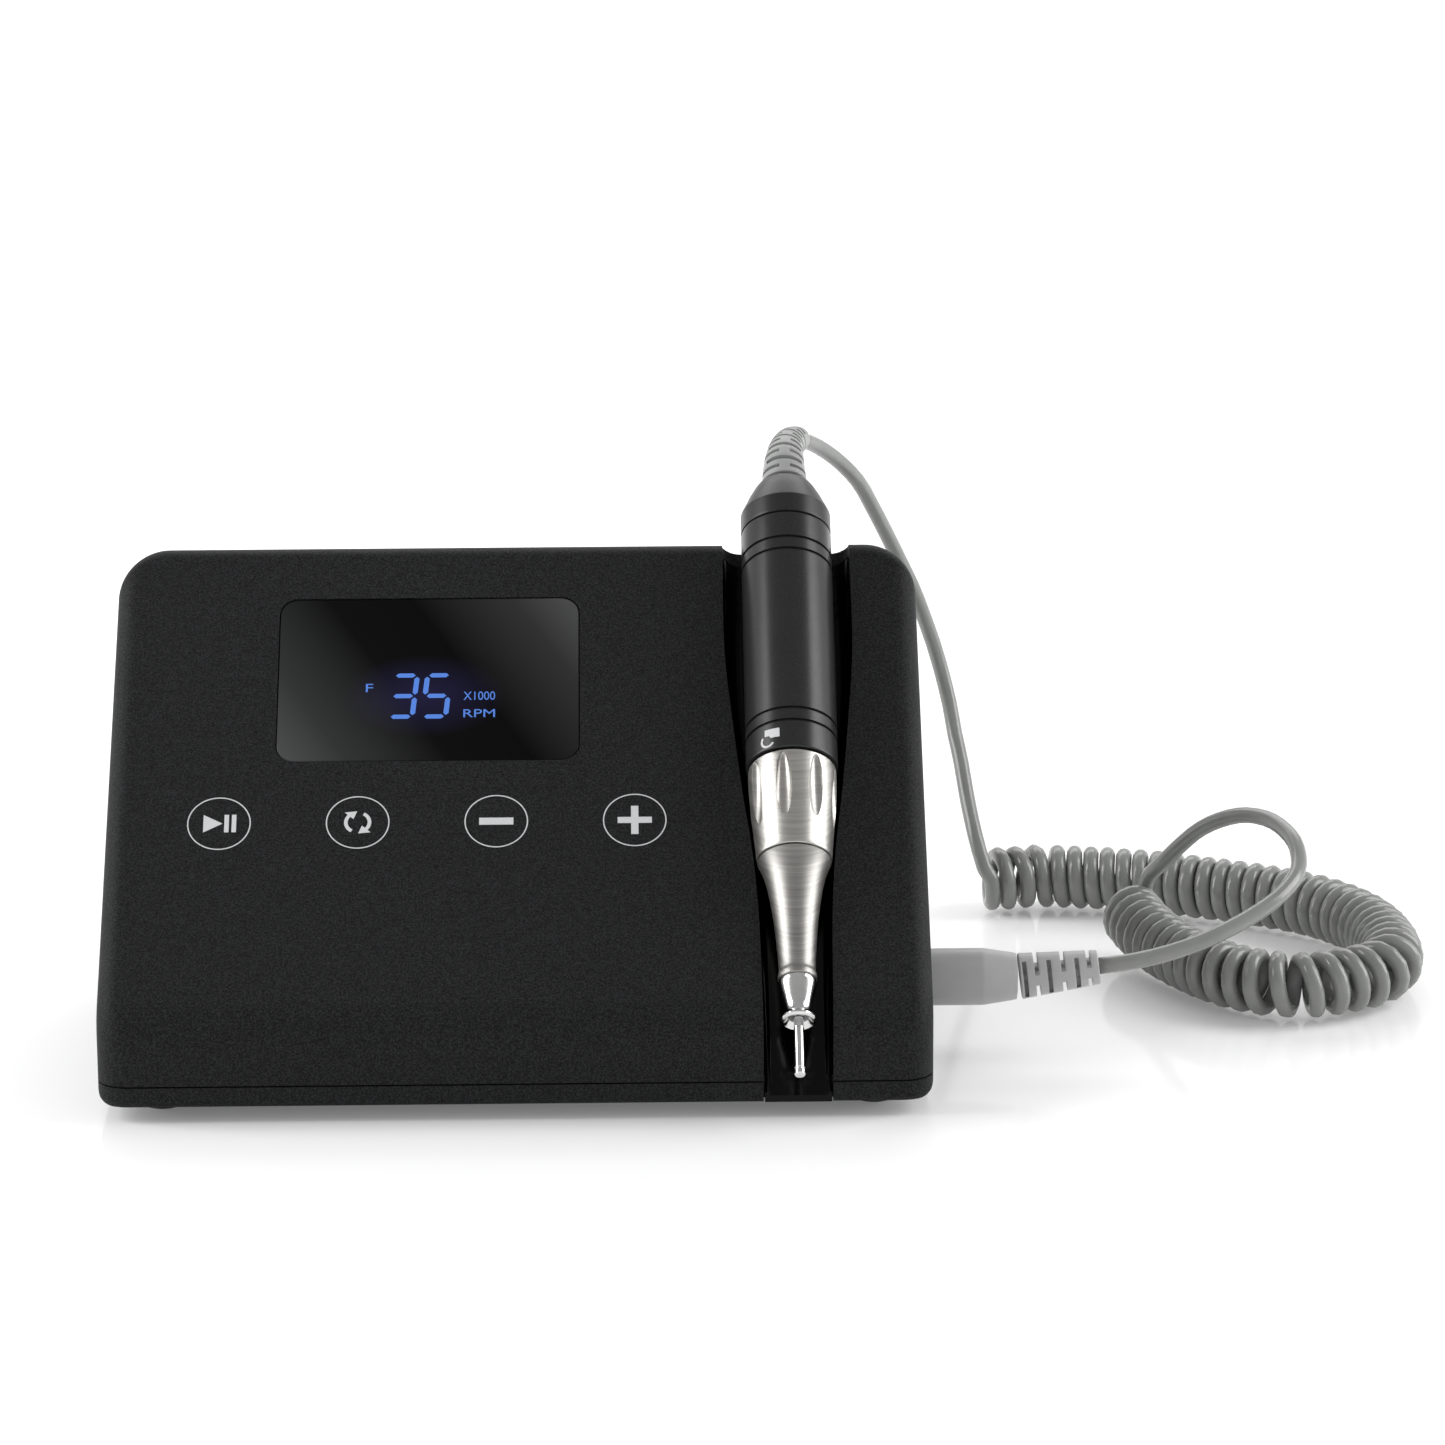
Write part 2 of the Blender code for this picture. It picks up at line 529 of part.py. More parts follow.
def power_switch(unit):
    frame = box_mesh("switch_housing", (-7.5 * MM, -14 * MM, -10.5 * MM), (7.5 * MM, 0, 10.5 * MM))
    frame = place("switch_housing", frame, unit, GLOSS_BLACK, (SWITCH_X, CASE_DEPTH, SWITCH_Z))
    pocket = box_mesh("switch_pocket", (-5.5 * MM, -9 * MM, -8.6 * MM), (5.5 * MM, 5 * MM, 8.6 * MM))
    cut(frame, place("switch_pocket", pocket, unit, location=(SWITCH_X, CASE_DEPTH, SWITCH_Z)))
    outline = [(-4 * MM, -5.5 * MM), (1.4 * MM, -7.6 * MM), (0.6 * MM, 0), (1.4 * MM, 7.6 * MM), (-4 * MM, 5.5 * MM),
               (-5 * MM, 0)]
    rocker = prism_x("power_rocker", outline, -5.1 * MM, 5.1 * MM)
    place("power_rocker", rocker, unit, GLOSS_BLACK, (SWITCH_X, CASE_DEPTH - 2.6 * MM, SWITCH_Z), (-ROCKER_TILT, 0, 0))


def socket_and_plug(unit):
    wall_x = CASE_MIDDLE + CASE_WIDTH / 2
    axis = empty("plug_axis", unit, (wall_x, SOCKET_Y, SOCKET_Z), (0, math.pi / 2, 0))
    back = -14 * MM
    bore = CONTACT_RADIUS + GAP
    profile = [(0, back), (SOCKET_RADIUS, back), (SOCKET_RADIUS, -0.2 * MM), (bore, -0.2 * MM),
               (bore, -CONTACT_LENGTH - 1 * MM), (0, -CONTACT_LENGTH - 1 * MM)]
    place("handpiece_socket", lathe("handpiece_socket", profile, 20), axis, GLOSS_BLACK)
    nut_low, nut_high = -WALL - GAP - 3 * MM, -WALL - GAP
    inner = SOCKET_RADIUS + GAP
    nut = [(inner, nut_low), (9.3 * MM, nut_low), (9.3 * MM, nut_high), (inner, nut_high)]
    place("socket_nut", lathe("socket_nut", nut, 6 * 3), axis, STEEL)

    start = GAP
    contacts = [(0, -CONTACT_LENGTH), (1.2 * MM, -CONTACT_LENGTH), (2.2 * MM, 1.6 * MM - CONTACT_LENGTH),
                (1.6 * MM, 2.4 * MM - CONTACT_LENGTH), (CONTACT_RADIUS, 3.2 * MM - CONTACT_LENGTH),
                (CONTACT_RADIUS, start), (0, start)]
    place("plug_contacts", lathe("plug_contacts", contacts, 16), axis, BRASS)
    first = start + GAP
    neck = PLUG_LENGTH + PLUG_TAPER
    body = [(0, first), (PLUG_RADIUS - 0.5 * MM, first), (PLUG_RADIUS, first + 0.5 * MM), (PLUG_RADIUS, PLUG_LENGTH),
            (PLUG_NECK_RADIUS, neck), (0, neck)]
    place("plug_body", lathe("plug_body", body, 24), axis, CORD_GREY)

    relief_gap = GAP + PLUG_NECK_RADIUS * math.sin(RELIEF_TILT)
    tilt = empty("relief_axis", axis, (0, 0, neck + relief_gap), (0, -RELIEF_TILT, 0))
    ribs, slot = 7, 1.1 * MM
    rib = (RELIEF_LENGTH - (ribs - 1) * slot) / ribs
    core = CORD_RADIUS + 0.8 * MM
    profile = [(0, 0)]
    for k in range(ribs):
        z = k * (rib + slot)
        taper = (PLUG_NECK_RADIUS - 4.0 * MM) / RELIEF_LENGTH
        one, two = PLUG_NECK_RADIUS - taper * z, PLUG_NECK_RADIUS - taper * (z + rib)
        profile += [(one, z), (two, z + rib)]
        profile += [(core, z + rib), (core, z + rib + slot)] if k < ribs - 1 else [(0, z + rib)]
    place("plug_relief", lathe("plug_relief", profile, 16), tilt, CORD_GREY)


def grooved_tube(low, high, outer, inner, grooves):
    """Closed profile of a tube with fine turned grooves."""
    profile = [(inner, low), (outer, low)]
    half = 0.35 * MM
    for groove in grooves:
        profile += [(outer, groove - half), (outer - GROOVE_DEPTH, groove - half),
                    (outer - GROOVE_DEPTH, groove + half), (outer, groove + half)]
    return profile + [(outer, high), (inner, high)]


def handpiece(pen):
    nose = [(2.6 * MM, NOSE_START), (3.6 * MM, NOSE_START - 0.2 * MM), (4.2 * MM, NOSE_START + 0.4 * MM),
            (3.9 * MM, NOSE_START + 1.0 * MM), (3.1 * MM, NOSE_START + 1.6 * MM), (3.4 * MM, NOSE_START + 4.5 * MM),
            (4.1 * MM, NOSE_END - 1 * MM), (3.9 * MM, NOSE_END), (3.2 * MM, NOSE_END), (3.2 * MM, NOSE_END + 6 * MM),
            (2.6 * MM, NOSE_END + 6 * MM)]
    place("nose_cone", lathe("nose_cone", nose, 24), pen, POLISHED)

    low = NOSE_END + GAP
    sleeve = [(3.5 * MM, low), (4.1 * MM, low), (4.4 * MM, low + 1 * MM), (4.3 * MM, low + 3.5 * MM),
              (4.8 * MM, 33 * MM), (5.8 * MM, 41 * MM), (7.2 * MM, 49.7 * MM), (8.7 * MM, SLEEVE_END),
              (5.2 * MM, SLEEVE_END), (5.2 * MM, 44 * MM), (2.6 * MM, 44 * MM), (2.6 * MM, NOSE_END + 6.6 * MM),
              (3.5 * MM, NOSE_END + 6.6 * MM)]
    place("front_sleeve", lathe("front_sleeve", sleeve, 24), pen, SATIN_STEEL)
    bearing = [(2.5 * MM, 44.3 * MM), (4.9 * MM, 44.3 * MM), (4.9 * MM, 49.3 * MM), (2.5 * MM, 49.3 * MM)]
    place("front_bearing", lathe("front_bearing", bearing, 16), pen, STEEL)

    grip_bore = GRIP_RADIUS - GRIP_WALL
    core = grip_bore - GAP
    housing = [(3.9 * MM, 49.7 * MM), (4.9 * MM, 49.7 * MM), (4.9 * MM, SLEEVE_END + GAP), (core, SLEEVE_END + GAP),
               (core, GRIP_END + GAP), (core, 97 * MM), (core - 1.1 * MM, 97 * MM), (core - 1.1 * MM, 60 * MM),
               (3.9 * MM, 60 * MM)]
    place("inner_housing", lathe("inner_housing", housing, 20), pen, BRASS)
    room = core - 1.1 * MM - GAP
    rear = [(2.5 * MM, 86 * MM), (room, 86 * MM), (room, 91 * MM), (2.5 * MM, 91 * MM)]
    place("rear_bearing", lathe("rear_bearing", rear, 16), pen, STEEL)
    slider = [(2.8 * MM, 62.3 * MM), (room, 62.3 * MM), (room, 66.3 * MM), (2.8 * MM, 66.3 * MM)]
    place("release_slider", lathe("release_slider", slider, 16), pen, BRASS)

    spring_points = []
    turns, per_turn = 6, 10
    for k in range(turns * per_turn + 1):
        turn = 2 * math.pi * k / per_turn
        spring_points.append((4.4 * MM * math.cos(turn), 4.4 * MM * math.sin(turn),
                              68.5 * MM + 16 * MM * k / (turns * per_turn)))
    curve = bpy.data.curves.new("chuck_spring", "CURVE")
    curve.dimensions = "3D"
    curve.bevel_depth = 0.55 * MM
    curve.bevel_resolution = 1
    curve.use_fill_caps = True
    spline = curve.splines.new("POLY")
    spline.points.add(len(spring_points) - 1)
    for k, point in enumerate(spring_points):
        spline.points[k].co = (*point, 1)
    place("chuck_spring", curve, pen, STEEL)

    low = SLEEVE_END + GAP
    grip = [(grip_bore, low), (8.9 * MM, low), (9.5 * MM, 62 * MM), (10.0 * MM, 68 * MM), (GRIP_RADIUS, 75 * MM),
            (GRIP_RADIUS, GRIP_END), (grip_bore, GRIP_END)]
    grip = place("twist_sleeve", lathe("twist_sleeve", grip, 28), pen, SATIN_STEEL)
    bm = bmesh.new()
    for k in range(FLUTES):
        made = bmesh.ops.create_uvsphere(bm, u_segments=8, v_segments=8, radius=1)["verts"]
        angle = FLUTE_PHASE + 2 * math.pi * k / FLUTES
        for vert in made:
            side, depth, up = vert.co
            radial = GRIP_RADIUS + 0.6 * MM + depth * 2 * MM
            across = side * FLUTE_WIDTH * 0.62
            vert.co = (radial * math.sin(angle) + across * math.cos(angle),
                       radial * math.cos(angle) - across * math.sin(angle), FLUTE_MIDDLE + up * FLUTE_LENGTH * 0.55)
    cut(grip, place("flute_cutter", finish_mesh("flute_cutter", bm), pen))

    barrel_low = GRIP_END + GAP
    inner = BARREL_RADIUS - BARREL_WALL
    tube_profile = grooved_tube(barrel_low, BARREL_END, BARREL_RADIUS, inner, GROOVES)
    place("barrel", lathe("barrel", tube_profile, 28), pen, ANODISED)

    cap_low = BARREL_END + GAP
    spigot = inner - GAP
    cap = [(spigot - 1 * MM, BARREL_END - 4 * MM), (spigot, BARREL_END - 4 * MM), (spigot, cap_low),
           (BARREL_RADIUS, cap_low), (BARREL_RADIUS, 153.9 * MM), (9.7 * MM, 156.6 * MM), (8.6 * MM, 159.4 * MM),
           (6.6 * MM, 162.4 * MM), (CAP_RIM_RADIUS, PEN_END), (2.3 * MM, PEN_END), (2.3 * MM, 158 * MM),
           (spigot - 1 * MM, 153 * MM)]
    place("end_cap", lathe("end_cap", cap, 28), pen, ANODISED)

    wall = 0.8 * MM
    can = [(1.8 * MM, MOTOR_START), (MOTOR_RADIUS, MOTOR_START), (MOTOR_RADIUS, MOTOR_END),
           (MOTOR_RADIUS - wall, MOTOR_END), (MOTOR_RADIUS - wall, MOTOR_START + 1.2 * MM),
           (1.8 * MM, MOTOR_START + 1.2 * MM)]
    place("motor_can", lathe("motor_can", can, 20), pen, STEEL)
    cover = [(1.8 * MM, MOTOR_END + GAP), (MOTOR_RADIUS, MOTOR_END + GAP), (MOTOR_RADIUS, MOTOR_END + 4 * MM),
             (1.8 * MM, MOTOR_END + 4 * MM)]
    place("motor_cover", lathe("motor_cover", cover, 20), pen, ((0.1, 0.1, 0.1), 0.5))


def spinning_parts(pen):
    collet = [(COLLET_BORE, NOSE_START + 1 * MM), (SPINDLE_RADIUS, NOSE_START + 1 * MM), (SPINDLE_RADIUS, 33 * MM),
              (COLLET_BORE, 33 * MM)]
    place("collet", lathe("collet", collet, 12), pen, STEEL)
    end = SHANK_LENGTH + 1 * MM
    spindle = [(COLLET_BORE, 33.3 * MM), (SPINDLE_RADIUS, 33.3 * MM), (SPINDLE_RADIUS, 94 * MM), (0, 94 * MM),
               (0, end), (COLLET_BORE, end)]
    profile = spindle[4:] + spindle[:4]
    place("spindle", lathe("spindle", profile, 12), pen, STEEL)
    sleeve = SPINDLE_RADIUS + GAP
    coupling = [(sleeve, 92 * MM), (3.8 * MM, 92 * MM), (3.8 * MM, 98.8 * MM), (sleeve, 98.8 * MM)]
    place("motor_coupling", lathe("motor_coupling", coupling, 12), pen, ((0.3, 0.05, 0.03), 0.6))
    rotor = [(0, 94.6 * MM), (1.5 * MM, 94.6 * MM), (1.5 * MM, 104 * MM), (7.2 * MM, 104 * MM), (7.2 * MM, 134 * MM),
             (1.5 * MM, 134 * MM), (1.5 * MM, 141 * MM), (0, 141 * MM)]
    place("motor_rotor", lathe("motor_rotor", rotor, 16), pen, COPPER)
    shank = [(0, 0), (SHANK_RADIUS - 0.3 * MM, 0), (SHANK_RADIUS, 0.3 * MM), (SHANK_RADIUS, SHANK_LENGTH),
             (0, SHANK_LENGTH)]
    place("bit_shank", lathe("bit_shank", shank, 12), pen, POLISHED)


def cords(unit):
    rim = PEN_TIP + Vector((0, math.cos(PEN_ANGLE), math.sin(PEN_ANGLE))) * PEN_END
    wall = Vector((CASE_MIDDLE + CASE_WIDTH / 2, 0, 0))
    boot_route = [rim + Vector(point) * MM for point in BOOT_ROUTE]
    lead_route = [rim + Vector(point) * MM for point in LEAD_ROUTE]
    stretch = wall + LEAD_MEETS_COIL - lead_route[-1]
    lead_route = [point + stretch * i / (len(lead_route) - 1) for i, point in enumerate(lead_route)]
    coil_route = [wall + Vector(point) * MM for point in COIL_ROUTE]
    plug_lead_route = [wall + Vector(point) * MM for point in PLUG_LEAD_ROUTE]
    tube("handpiece_boot", boot_route, BOOT_RADII[0], unit, CORD_GREY, 4 * MM, BOOT_RADII[1], 3)
    tube("cord_handpiece_lead", lead_route, CORD_RADIUS, unit, CORD_GREY, 5.5 * MM)
    tube("cord_coil", coil_route, COIL_RADIUS, unit, CORD_GREY, 12 * MM, resolution=3)
    tube("cord_plug_lead", plug_lead_route, CORD_RADIUS, unit, CORD_GREY, 5.5 * MM)


def build():
    for old in list(bpy.data.objects):
        bpy.data.objects.remove(old)
    unit = empty("unit", None, (-CASE_MIDDLE, SHIFT_Y, 0))
    face = empty("face_frame", unit, (0, 0, BEND_HEIGHT), (FACE_ANGLE, 0, 0))
    pen = empty("handpiece_axis", unit, PEN_TIP, (PEN_ANGLE - math.pi / 2, 0, 0))
    case_shells(unit, face)
    cradle(unit)
    window_and_keys(face)
    feet_and_screws(unit)
    electronics(unit)
    power_switch(unit)
    socket_and_plug(unit)
    handpiece(pen)
    spinning_parts(pen)
    cords(unit)


build()
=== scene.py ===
"""Looks of the electric nail drill: moulded case, lit display, turned handpiece and curly cord."""

import math

import bmesh
import bpy
from mathutils import Matrix, Vector


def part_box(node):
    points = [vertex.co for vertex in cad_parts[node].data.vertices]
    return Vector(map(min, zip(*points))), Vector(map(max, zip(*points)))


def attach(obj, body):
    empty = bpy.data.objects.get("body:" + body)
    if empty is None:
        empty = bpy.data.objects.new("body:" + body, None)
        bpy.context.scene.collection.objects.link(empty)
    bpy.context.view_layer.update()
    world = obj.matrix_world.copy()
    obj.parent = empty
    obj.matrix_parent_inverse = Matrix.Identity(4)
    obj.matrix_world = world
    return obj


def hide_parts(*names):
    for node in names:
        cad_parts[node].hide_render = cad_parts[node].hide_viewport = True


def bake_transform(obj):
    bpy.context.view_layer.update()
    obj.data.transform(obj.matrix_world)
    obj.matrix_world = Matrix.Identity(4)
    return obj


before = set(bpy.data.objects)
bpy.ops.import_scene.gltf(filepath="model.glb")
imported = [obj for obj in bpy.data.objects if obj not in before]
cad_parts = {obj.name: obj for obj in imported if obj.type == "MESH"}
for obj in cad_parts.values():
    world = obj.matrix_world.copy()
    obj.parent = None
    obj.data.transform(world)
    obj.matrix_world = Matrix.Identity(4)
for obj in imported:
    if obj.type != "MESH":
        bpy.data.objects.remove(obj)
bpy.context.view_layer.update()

MM = 0.001
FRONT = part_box("upper_case")[0][1]           # the front wall's place along Y
# From the middle of the case to the line that the keys, cradle and handpiece are set out from
SIDE_SHIFT = 0.5 * MM
CASE_WIDTH = 189.6 * MM
CASE_DEPTH = 111.4 * MM
FACE_ANGLE = math.radians(38.5)
BEND_HEIGHT = 23.2 * MM
FOOT_HEIGHT = 3 * MM
SPLIT_HEIGHT = 8.4 * MM
BEND_RADIUS = 12 * MM
TOP_RADIUS = 5 * MM
BASE_RADIUS = 2 * MM
SIDE_RADII = (3.5 * MM, 12 * MM, 5 * MM, 7 * MM)   # base, back wall, face, front wall
SEAM = 0.35 * MM

TROUGH_X = SIDE_SHIFT + 63.5 * MM
TROUGH_PLAN = [(0, 7.9), (22, 8.4), (37, 9.7), (48, 11.4), (64, 13.4), (82, 15.1), (106, 15.1)]
TROUGH_FLOOR_FRONT = 4.6 * MM
TROUGH_FLOOR_ANGLE = math.radians(41.6)
TROUGH_FILLET = (2 * MM, 4.5 * MM)
LINER_WALL = 1.5 * MM
CASE_WALL = 3.0 * MM
BOSS_SPOTS = [(x, y) for x in (-86, 86) for y in (27, 88)]      # case screws, in millimetres
FOOT_SPOTS = [(x, y) for x in (-81, 81) for y in (13, 98)]
# Inlet and rocker in the back wall: place across, then width and height, in millimetres
REAR_OPENINGS = [(-62, (14, 11)), (-32, (15, 21))]
REAR_OPENING_UP = 22

WINDOW_SIZE = (70.5 * MM, 47 * MM)
WINDOW_CENTRE = (-21.1 * MM, 95.9 * MM)
WINDOW_CORNER = 4.5 * MM
KEY_X = [-68.9 * MM + i * 31.95 * MM for i in range(4)]
KEY_UP = 55 * MM
KEY_RING = 7.2 * MM
PRINT = 0.04 * MM                              # how far printing stands on a surface

PEN_TIP = Vector((TROUGH_X, FRONT - 10.8 * MM, 13.4 * MM))
PEN_ANGLE = math.radians(40.5)
PEN = Matrix.Translation(PEN_TIP) @ Matrix.Rotation(PEN_ANGLE - math.pi / 2, 4, "X")
BARREL_RADIUS = 10.7 * MM

SOCKET_Y = 43.2 * MM
SOCKET_Z = 18.6 * MM
CORD_DIAMETER = 3.9 * MM
COIL_MEAN_RADIUS = 6.0 * MM
COIL_POINTS = 18                                # points per turn
CORD_SIDES = 14

BOOT_ROUTE = [(63.5, 113.4, 119.5), (63.5, 117.6, 122.5), (63.8, 122.2, 124.5), (64.4, 127.3, 125.5),
              (65.6, 132.5, 125.9), (67.4, 137.3, 125.3)]
LEAD_ROUTE = [(67.6, 137.65, 125.2), (70.3, 143.4, 123.1), (74, 149.4, 119.8), (78.5, 155.4, 115),
              (83.1, 161, 108.8), (86.5, 165, 102), (90.3, 169, 93.8), (93.9, 172, 85.8),
              (97.4, 174, 78), (100.2, 175, 70.4), (102.7, 175, 63.1), (104.9, 174.5, 55.4),
              (106.7, 172, 47.9), (107.7, 169, 42), (109.1, 164, 35.6), (110.6, 157, 26.7),
              (112.3, 150, 19.2), (114, 147, 13.4)]
COIL_ROUTE = [(115.2, 152.5, 8.2), (122, 153.6, 8.2), (129, 155, 8.2), (143.6, 152.6, 8.2),
              (158.4, 148.7, 8.2), (168, 144.2, 8.2), (182.2, 137.1, 8.2), (196, 126.8, 8.2),
              (205.4, 111.9, 8.2), (208.7, 93.6, 8.2), (206.1, 78.2, 8.2), (195.4, 69.3, 8.2),
              (182, 66, 8.2), (168.5, 73.9, 8.2), (158, 89.2, 8.4), (151.8, 102, 9.5), (148, 114.8, 11)]
PLUG_LEAD_ROUTE = [(134.6, 43.2, 20.9), (140.8, 43.3, 21.6), (146.6, 44, 22.5), (152.5, 45, 23.8),
                   (158.5, 46.5, 25.4), (164.5, 49, 27.3), (170.7, 53, 29.3), (177.1, 58, 31.9),
                   (181.7, 64, 34.4), (183.9, 70, 36.7), (183.9, 77, 39.5), (182, 84, 41.1),
                   (178.7, 91, 41.8), (173.8, 97, 41.1), (168.8, 102, 38.6), (163.9, 106, 34.9),
                   (159.4, 109, 29.9), (155.6, 112, 24.8), (152.8, 115.3, 20.8)]


def place(x, y, z):
    """A point given in millimetres from the front wall and the table."""
    return Vector((SIDE_SHIFT + x * MM, FRONT + y * MM, z * MM))


# ---------------------------------------------------------------- camera, floor and light

def set_camera():
    data = bpy.data.cameras.new("view")
    data.sensor_width = 36
    data.lens = 148
    data.clip_end = 20
    camera = bpy.data.objects.new("view", data)
    bpy.context.collection.objects.link(camera)
    down, turn, roll = math.radians(15.78), math.radians(-0.877), math.radians(-0.267)
    ahead = Vector((-math.sin(turn) * math.cos(down), math.cos(turn) * math.cos(down), -math.sin(down)))
    right = ahead.cross(Vector((0, 0, 1))).normalized()
    up = right.cross(ahead)
    right_rolled = math.cos(roll) * right + math.sin(roll) * up
    up_rolled = -math.sin(roll) * right + math.cos(roll) * up
    axes = Matrix((right_rolled, up_rolled, -ahead)).transposed()
    camera.matrix_world = Matrix.Translation(place(27.2, -1270.3, 451.8)) @ axes.to_4x4()
    bpy.context.scene.camera = camera


def soft_light(name, location, target, size, power, colour=(1, 1, 1)):
    data = bpy.data.lights.new(name, "AREA")
    data.shape = "RECTANGLE"
    data.size, data.size_y = size
    data.energy = power
    data.color = colour
    lamp = bpy.data.objects.new(name, data)
    bpy.context.collection.objects.link(lamp)
    lamp.location = location
    lamp.rotation_euler = (Vector(target) - Vector(location)).to_track_quat("-Z", "Y").to_euler()
    return lamp


def studio():
    bpy.ops.mesh.primitive_plane_add(size=14, location=(0, 0, -0.0004))
    floor = bpy.context.object
    floor.name = "table_top"
    paint = bpy.data.materials.new("white_table")
    paint.use_nodes = True
    shader = paint.node_tree.nodes["Principled BSDF"]
    shader.inputs["Base Color"].default_value = (0.93, 0.93, 0.93, 1)
    shader.inputs["Roughness"].default_value = 0.1
    shader.inputs["IOR"].default_value = 1.42
    # Painted light: the table glows white by its own emission, faintly near the case and more further off,
    # lifting its shade towards white
    shader.inputs["Emission Color"].default_value = (1, 1, 1, 1)
    where = paint.node_tree.nodes.new("ShaderNodeTexCoord")
    reach = paint.node_tree.nodes.new("ShaderNodeVectorMath")
    reach.operation = "LENGTH"
    painted_floor_glow = paint.node_tree.nodes.new("ShaderNodeMapRange")
    painted_floor_glow.inputs["From Min"].default_value = 0.2
    painted_floor_glow.inputs["From Max"].default_value = 1.1
    painted_floor_glow.inputs["To Min"].default_value = 0.13
    painted_floor_glow.inputs["To Max"].default_value = 0.75
    paint.node_tree.links.new(where.outputs["Object"], reach.inputs[0])
    paint.node_tree.links.new(reach.outputs["Value"], painted_floor_glow.inputs["Value"])
    paint.node_tree.links.new(painted_floor_glow.outputs["Result"], shader.inputs["Emission Strength"])
    floor.data.materials.append(paint)

    world = bpy.data.worlds.new("studio")
    bpy.context.scene.world = world
    world.use_nodes = True
    nodes, links = world.node_tree.nodes, world.node_tree.links
    background = nodes["Background"]
    where = nodes.new("ShaderNodeTexCoord")
    split = nodes.new("ShaderNodeSeparateXYZ")
    fall = nodes.new("ShaderNodeValToRGB")
    fall.color_ramp.elements[0].position = 0.2
    fall.color_ramp.elements[0].color = (1.0, 1.0, 1.0, 1)
    fall.color_ramp.elements[1].position = 0.62
    fall.color_ramp.elements[1].color = (0.42, 0.42, 0.42, 1)
    links.new(where.outputs["Generated"], split.inputs[0])
    links.new(split.outputs["Z"], fall.inputs[0])
    links.new(fall.outputs[0], background.inputs["Color"])
    background.inputs["Strength"].default_value = 1.0

    middle = (0.02, 0, 0.05)
    soft_light("left_box", (-0.95, 0.0, 0.55), middle, (0.5, 0.8), 9)
    soft_light("right_box", (0.95, 0.1, 0.5), middle, (0.5, 0.8), 7)
    soft_light("back_box", (0.0, 1.1, 0.9), middle, (1.4, 0.5), 6)
    bpy.context.scene.view_settings.view_transform = "Standard"


# ---------------------------------------------------------------- materials

class Finish:
    """A Principled material with its nodes at hand."""

    def __init__(self, name, colour, roughness, metallic=0.0, **sockets):
        self.material = bpy.data.materials.new(name)
        self.material.use_nodes = True
        self.nodes = self.material.node_tree.nodes
        self.links = self.material.node_tree.links
        self.shader = self.nodes["Principled BSDF"]
        self.shader.inputs["Base Color"].default_value = (*colour, 1)
        self.shader.inputs["Roughness"].default_value = roughness
        self.shader.inputs["Metallic"].default_value = metallic
        for socket, value in sockets.items():
            self.shader.inputs[socket.replace("_", " ")].default_value = value
        self.where = self.nodes.new("ShaderNodeTexCoord")

    def mapped(self, scale=(1, 1, 1), rotation=(0, 0, 0), source="Object", location=(0, 0, 0)):
        mapping = self.nodes.new("ShaderNodeMapping")
        mapping.inputs["Scale"].default_value = scale
        mapping.inputs["Rotation"].default_value = rotation
        mapping.inputs["Location"].default_value = location
        self.links.new(self.where.outputs[source], mapping.inputs["Vector"])
        return mapping.outputs["Vector"]

    def noise(self, vector, scale, detail=2.0, roughness=0.5):
        noise = self.nodes.new("ShaderNodeTexNoise")
        noise.inputs["Scale"].default_value = scale
        noise.inputs["Detail"].default_value = detail
        noise.inputs["Roughness"].default_value = roughness
        self.links.new(vector, noise.inputs["Vector"])
        return noise.outputs["Fac"]

    def cells(self, vector, scale):
        cells = self.nodes.new("ShaderNodeTexVoronoi")
        cells.inputs["Scale"].default_value = scale
        self.links.new(vector, cells.inputs["Vector"])
        return cells.outputs["Distance"]

    def ramp(self, value, stops):
        ramp = self.nodes.new("ShaderNodeValToRGB")
        elements = ramp.color_ramp.elements
        for element, (position, colour) in zip(elements, stops[:2]):
            element.position = position
            element.color = (*colour, 1)
        for position, colour in stops[2:]:
            elements.new(position).color = (*colour, 1)
        self.links.new(value, ramp.inputs[0])
        return ramp.outputs[0]

    def spread(self, value, low, high, low_in=0.0, high_in=1.0):
        span = self.nodes.new("ShaderNodeMapRange")
        span.inputs["From Min"].default_value = low_in
        span.inputs["From Max"].default_value = high_in
        span.inputs["To Min"].default_value = low
        span.inputs["To Max"].default_value = high
        self.links.new(value, span.inputs["Value"])
        return span.outputs["Result"]

    def colour(self, output):
        self.links.new(output, self.shader.inputs["Base Color"])

    def roughness(self, output):
        self.links.new(output, self.shader.inputs["Roughness"])

    def bump(self, output, distance, strength=1.0):
        bump = self.nodes.new("ShaderNodeBump")
        bump.inputs["Distance"].default_value = distance
        bump.inputs["Strength"].default_value = strength
        self.links.new(output, bump.inputs["Height"])
        self.links.new(bump.outputs["Normal"], self.shader.inputs["Normal"])


PEN_TURN = (math.pi / 2 - PEN_ANGLE, 0, 0)     # turns the handpiece's axis upright


def textured_black(name, tone=1.0, light=0.6):
    """Fine spark-eroded grain of the moulded case, with tiny lighter specks."""
    made = Finish(name, (0.01, 0.0105, 0.011), 0.55, 0.0, **{"Specular IOR Level": 0.16})
    where = made.mapped()
    grain = made.noise(where, 2600, 3, 0.6)
    specks = made.cells(where, 1900)
    dark = tuple(c * tone for c in (0.0015, 0.0016, 0.0018))
    pale = tuple(c * tone for c in (0.02, 0.021, 0.0225))
    made.colour(made.ramp(grain, [(0.42, dark), (0.62, pale)]))
    made.roughness(made.spread(made.noise(where, 60, 2), light - 0.05, light + 0.05))
    mix = made.nodes.new("ShaderNodeMath")
    mix.operation = "ADD"
    made.links.new(grain, mix.inputs[0])
    made.links.new(made.spread(specks, 0.35, 0.0, 0.0, 0.5), mix.inputs[1])
    made.bump(mix.outputs[0], 0.00012, 0.75)
    return made.material


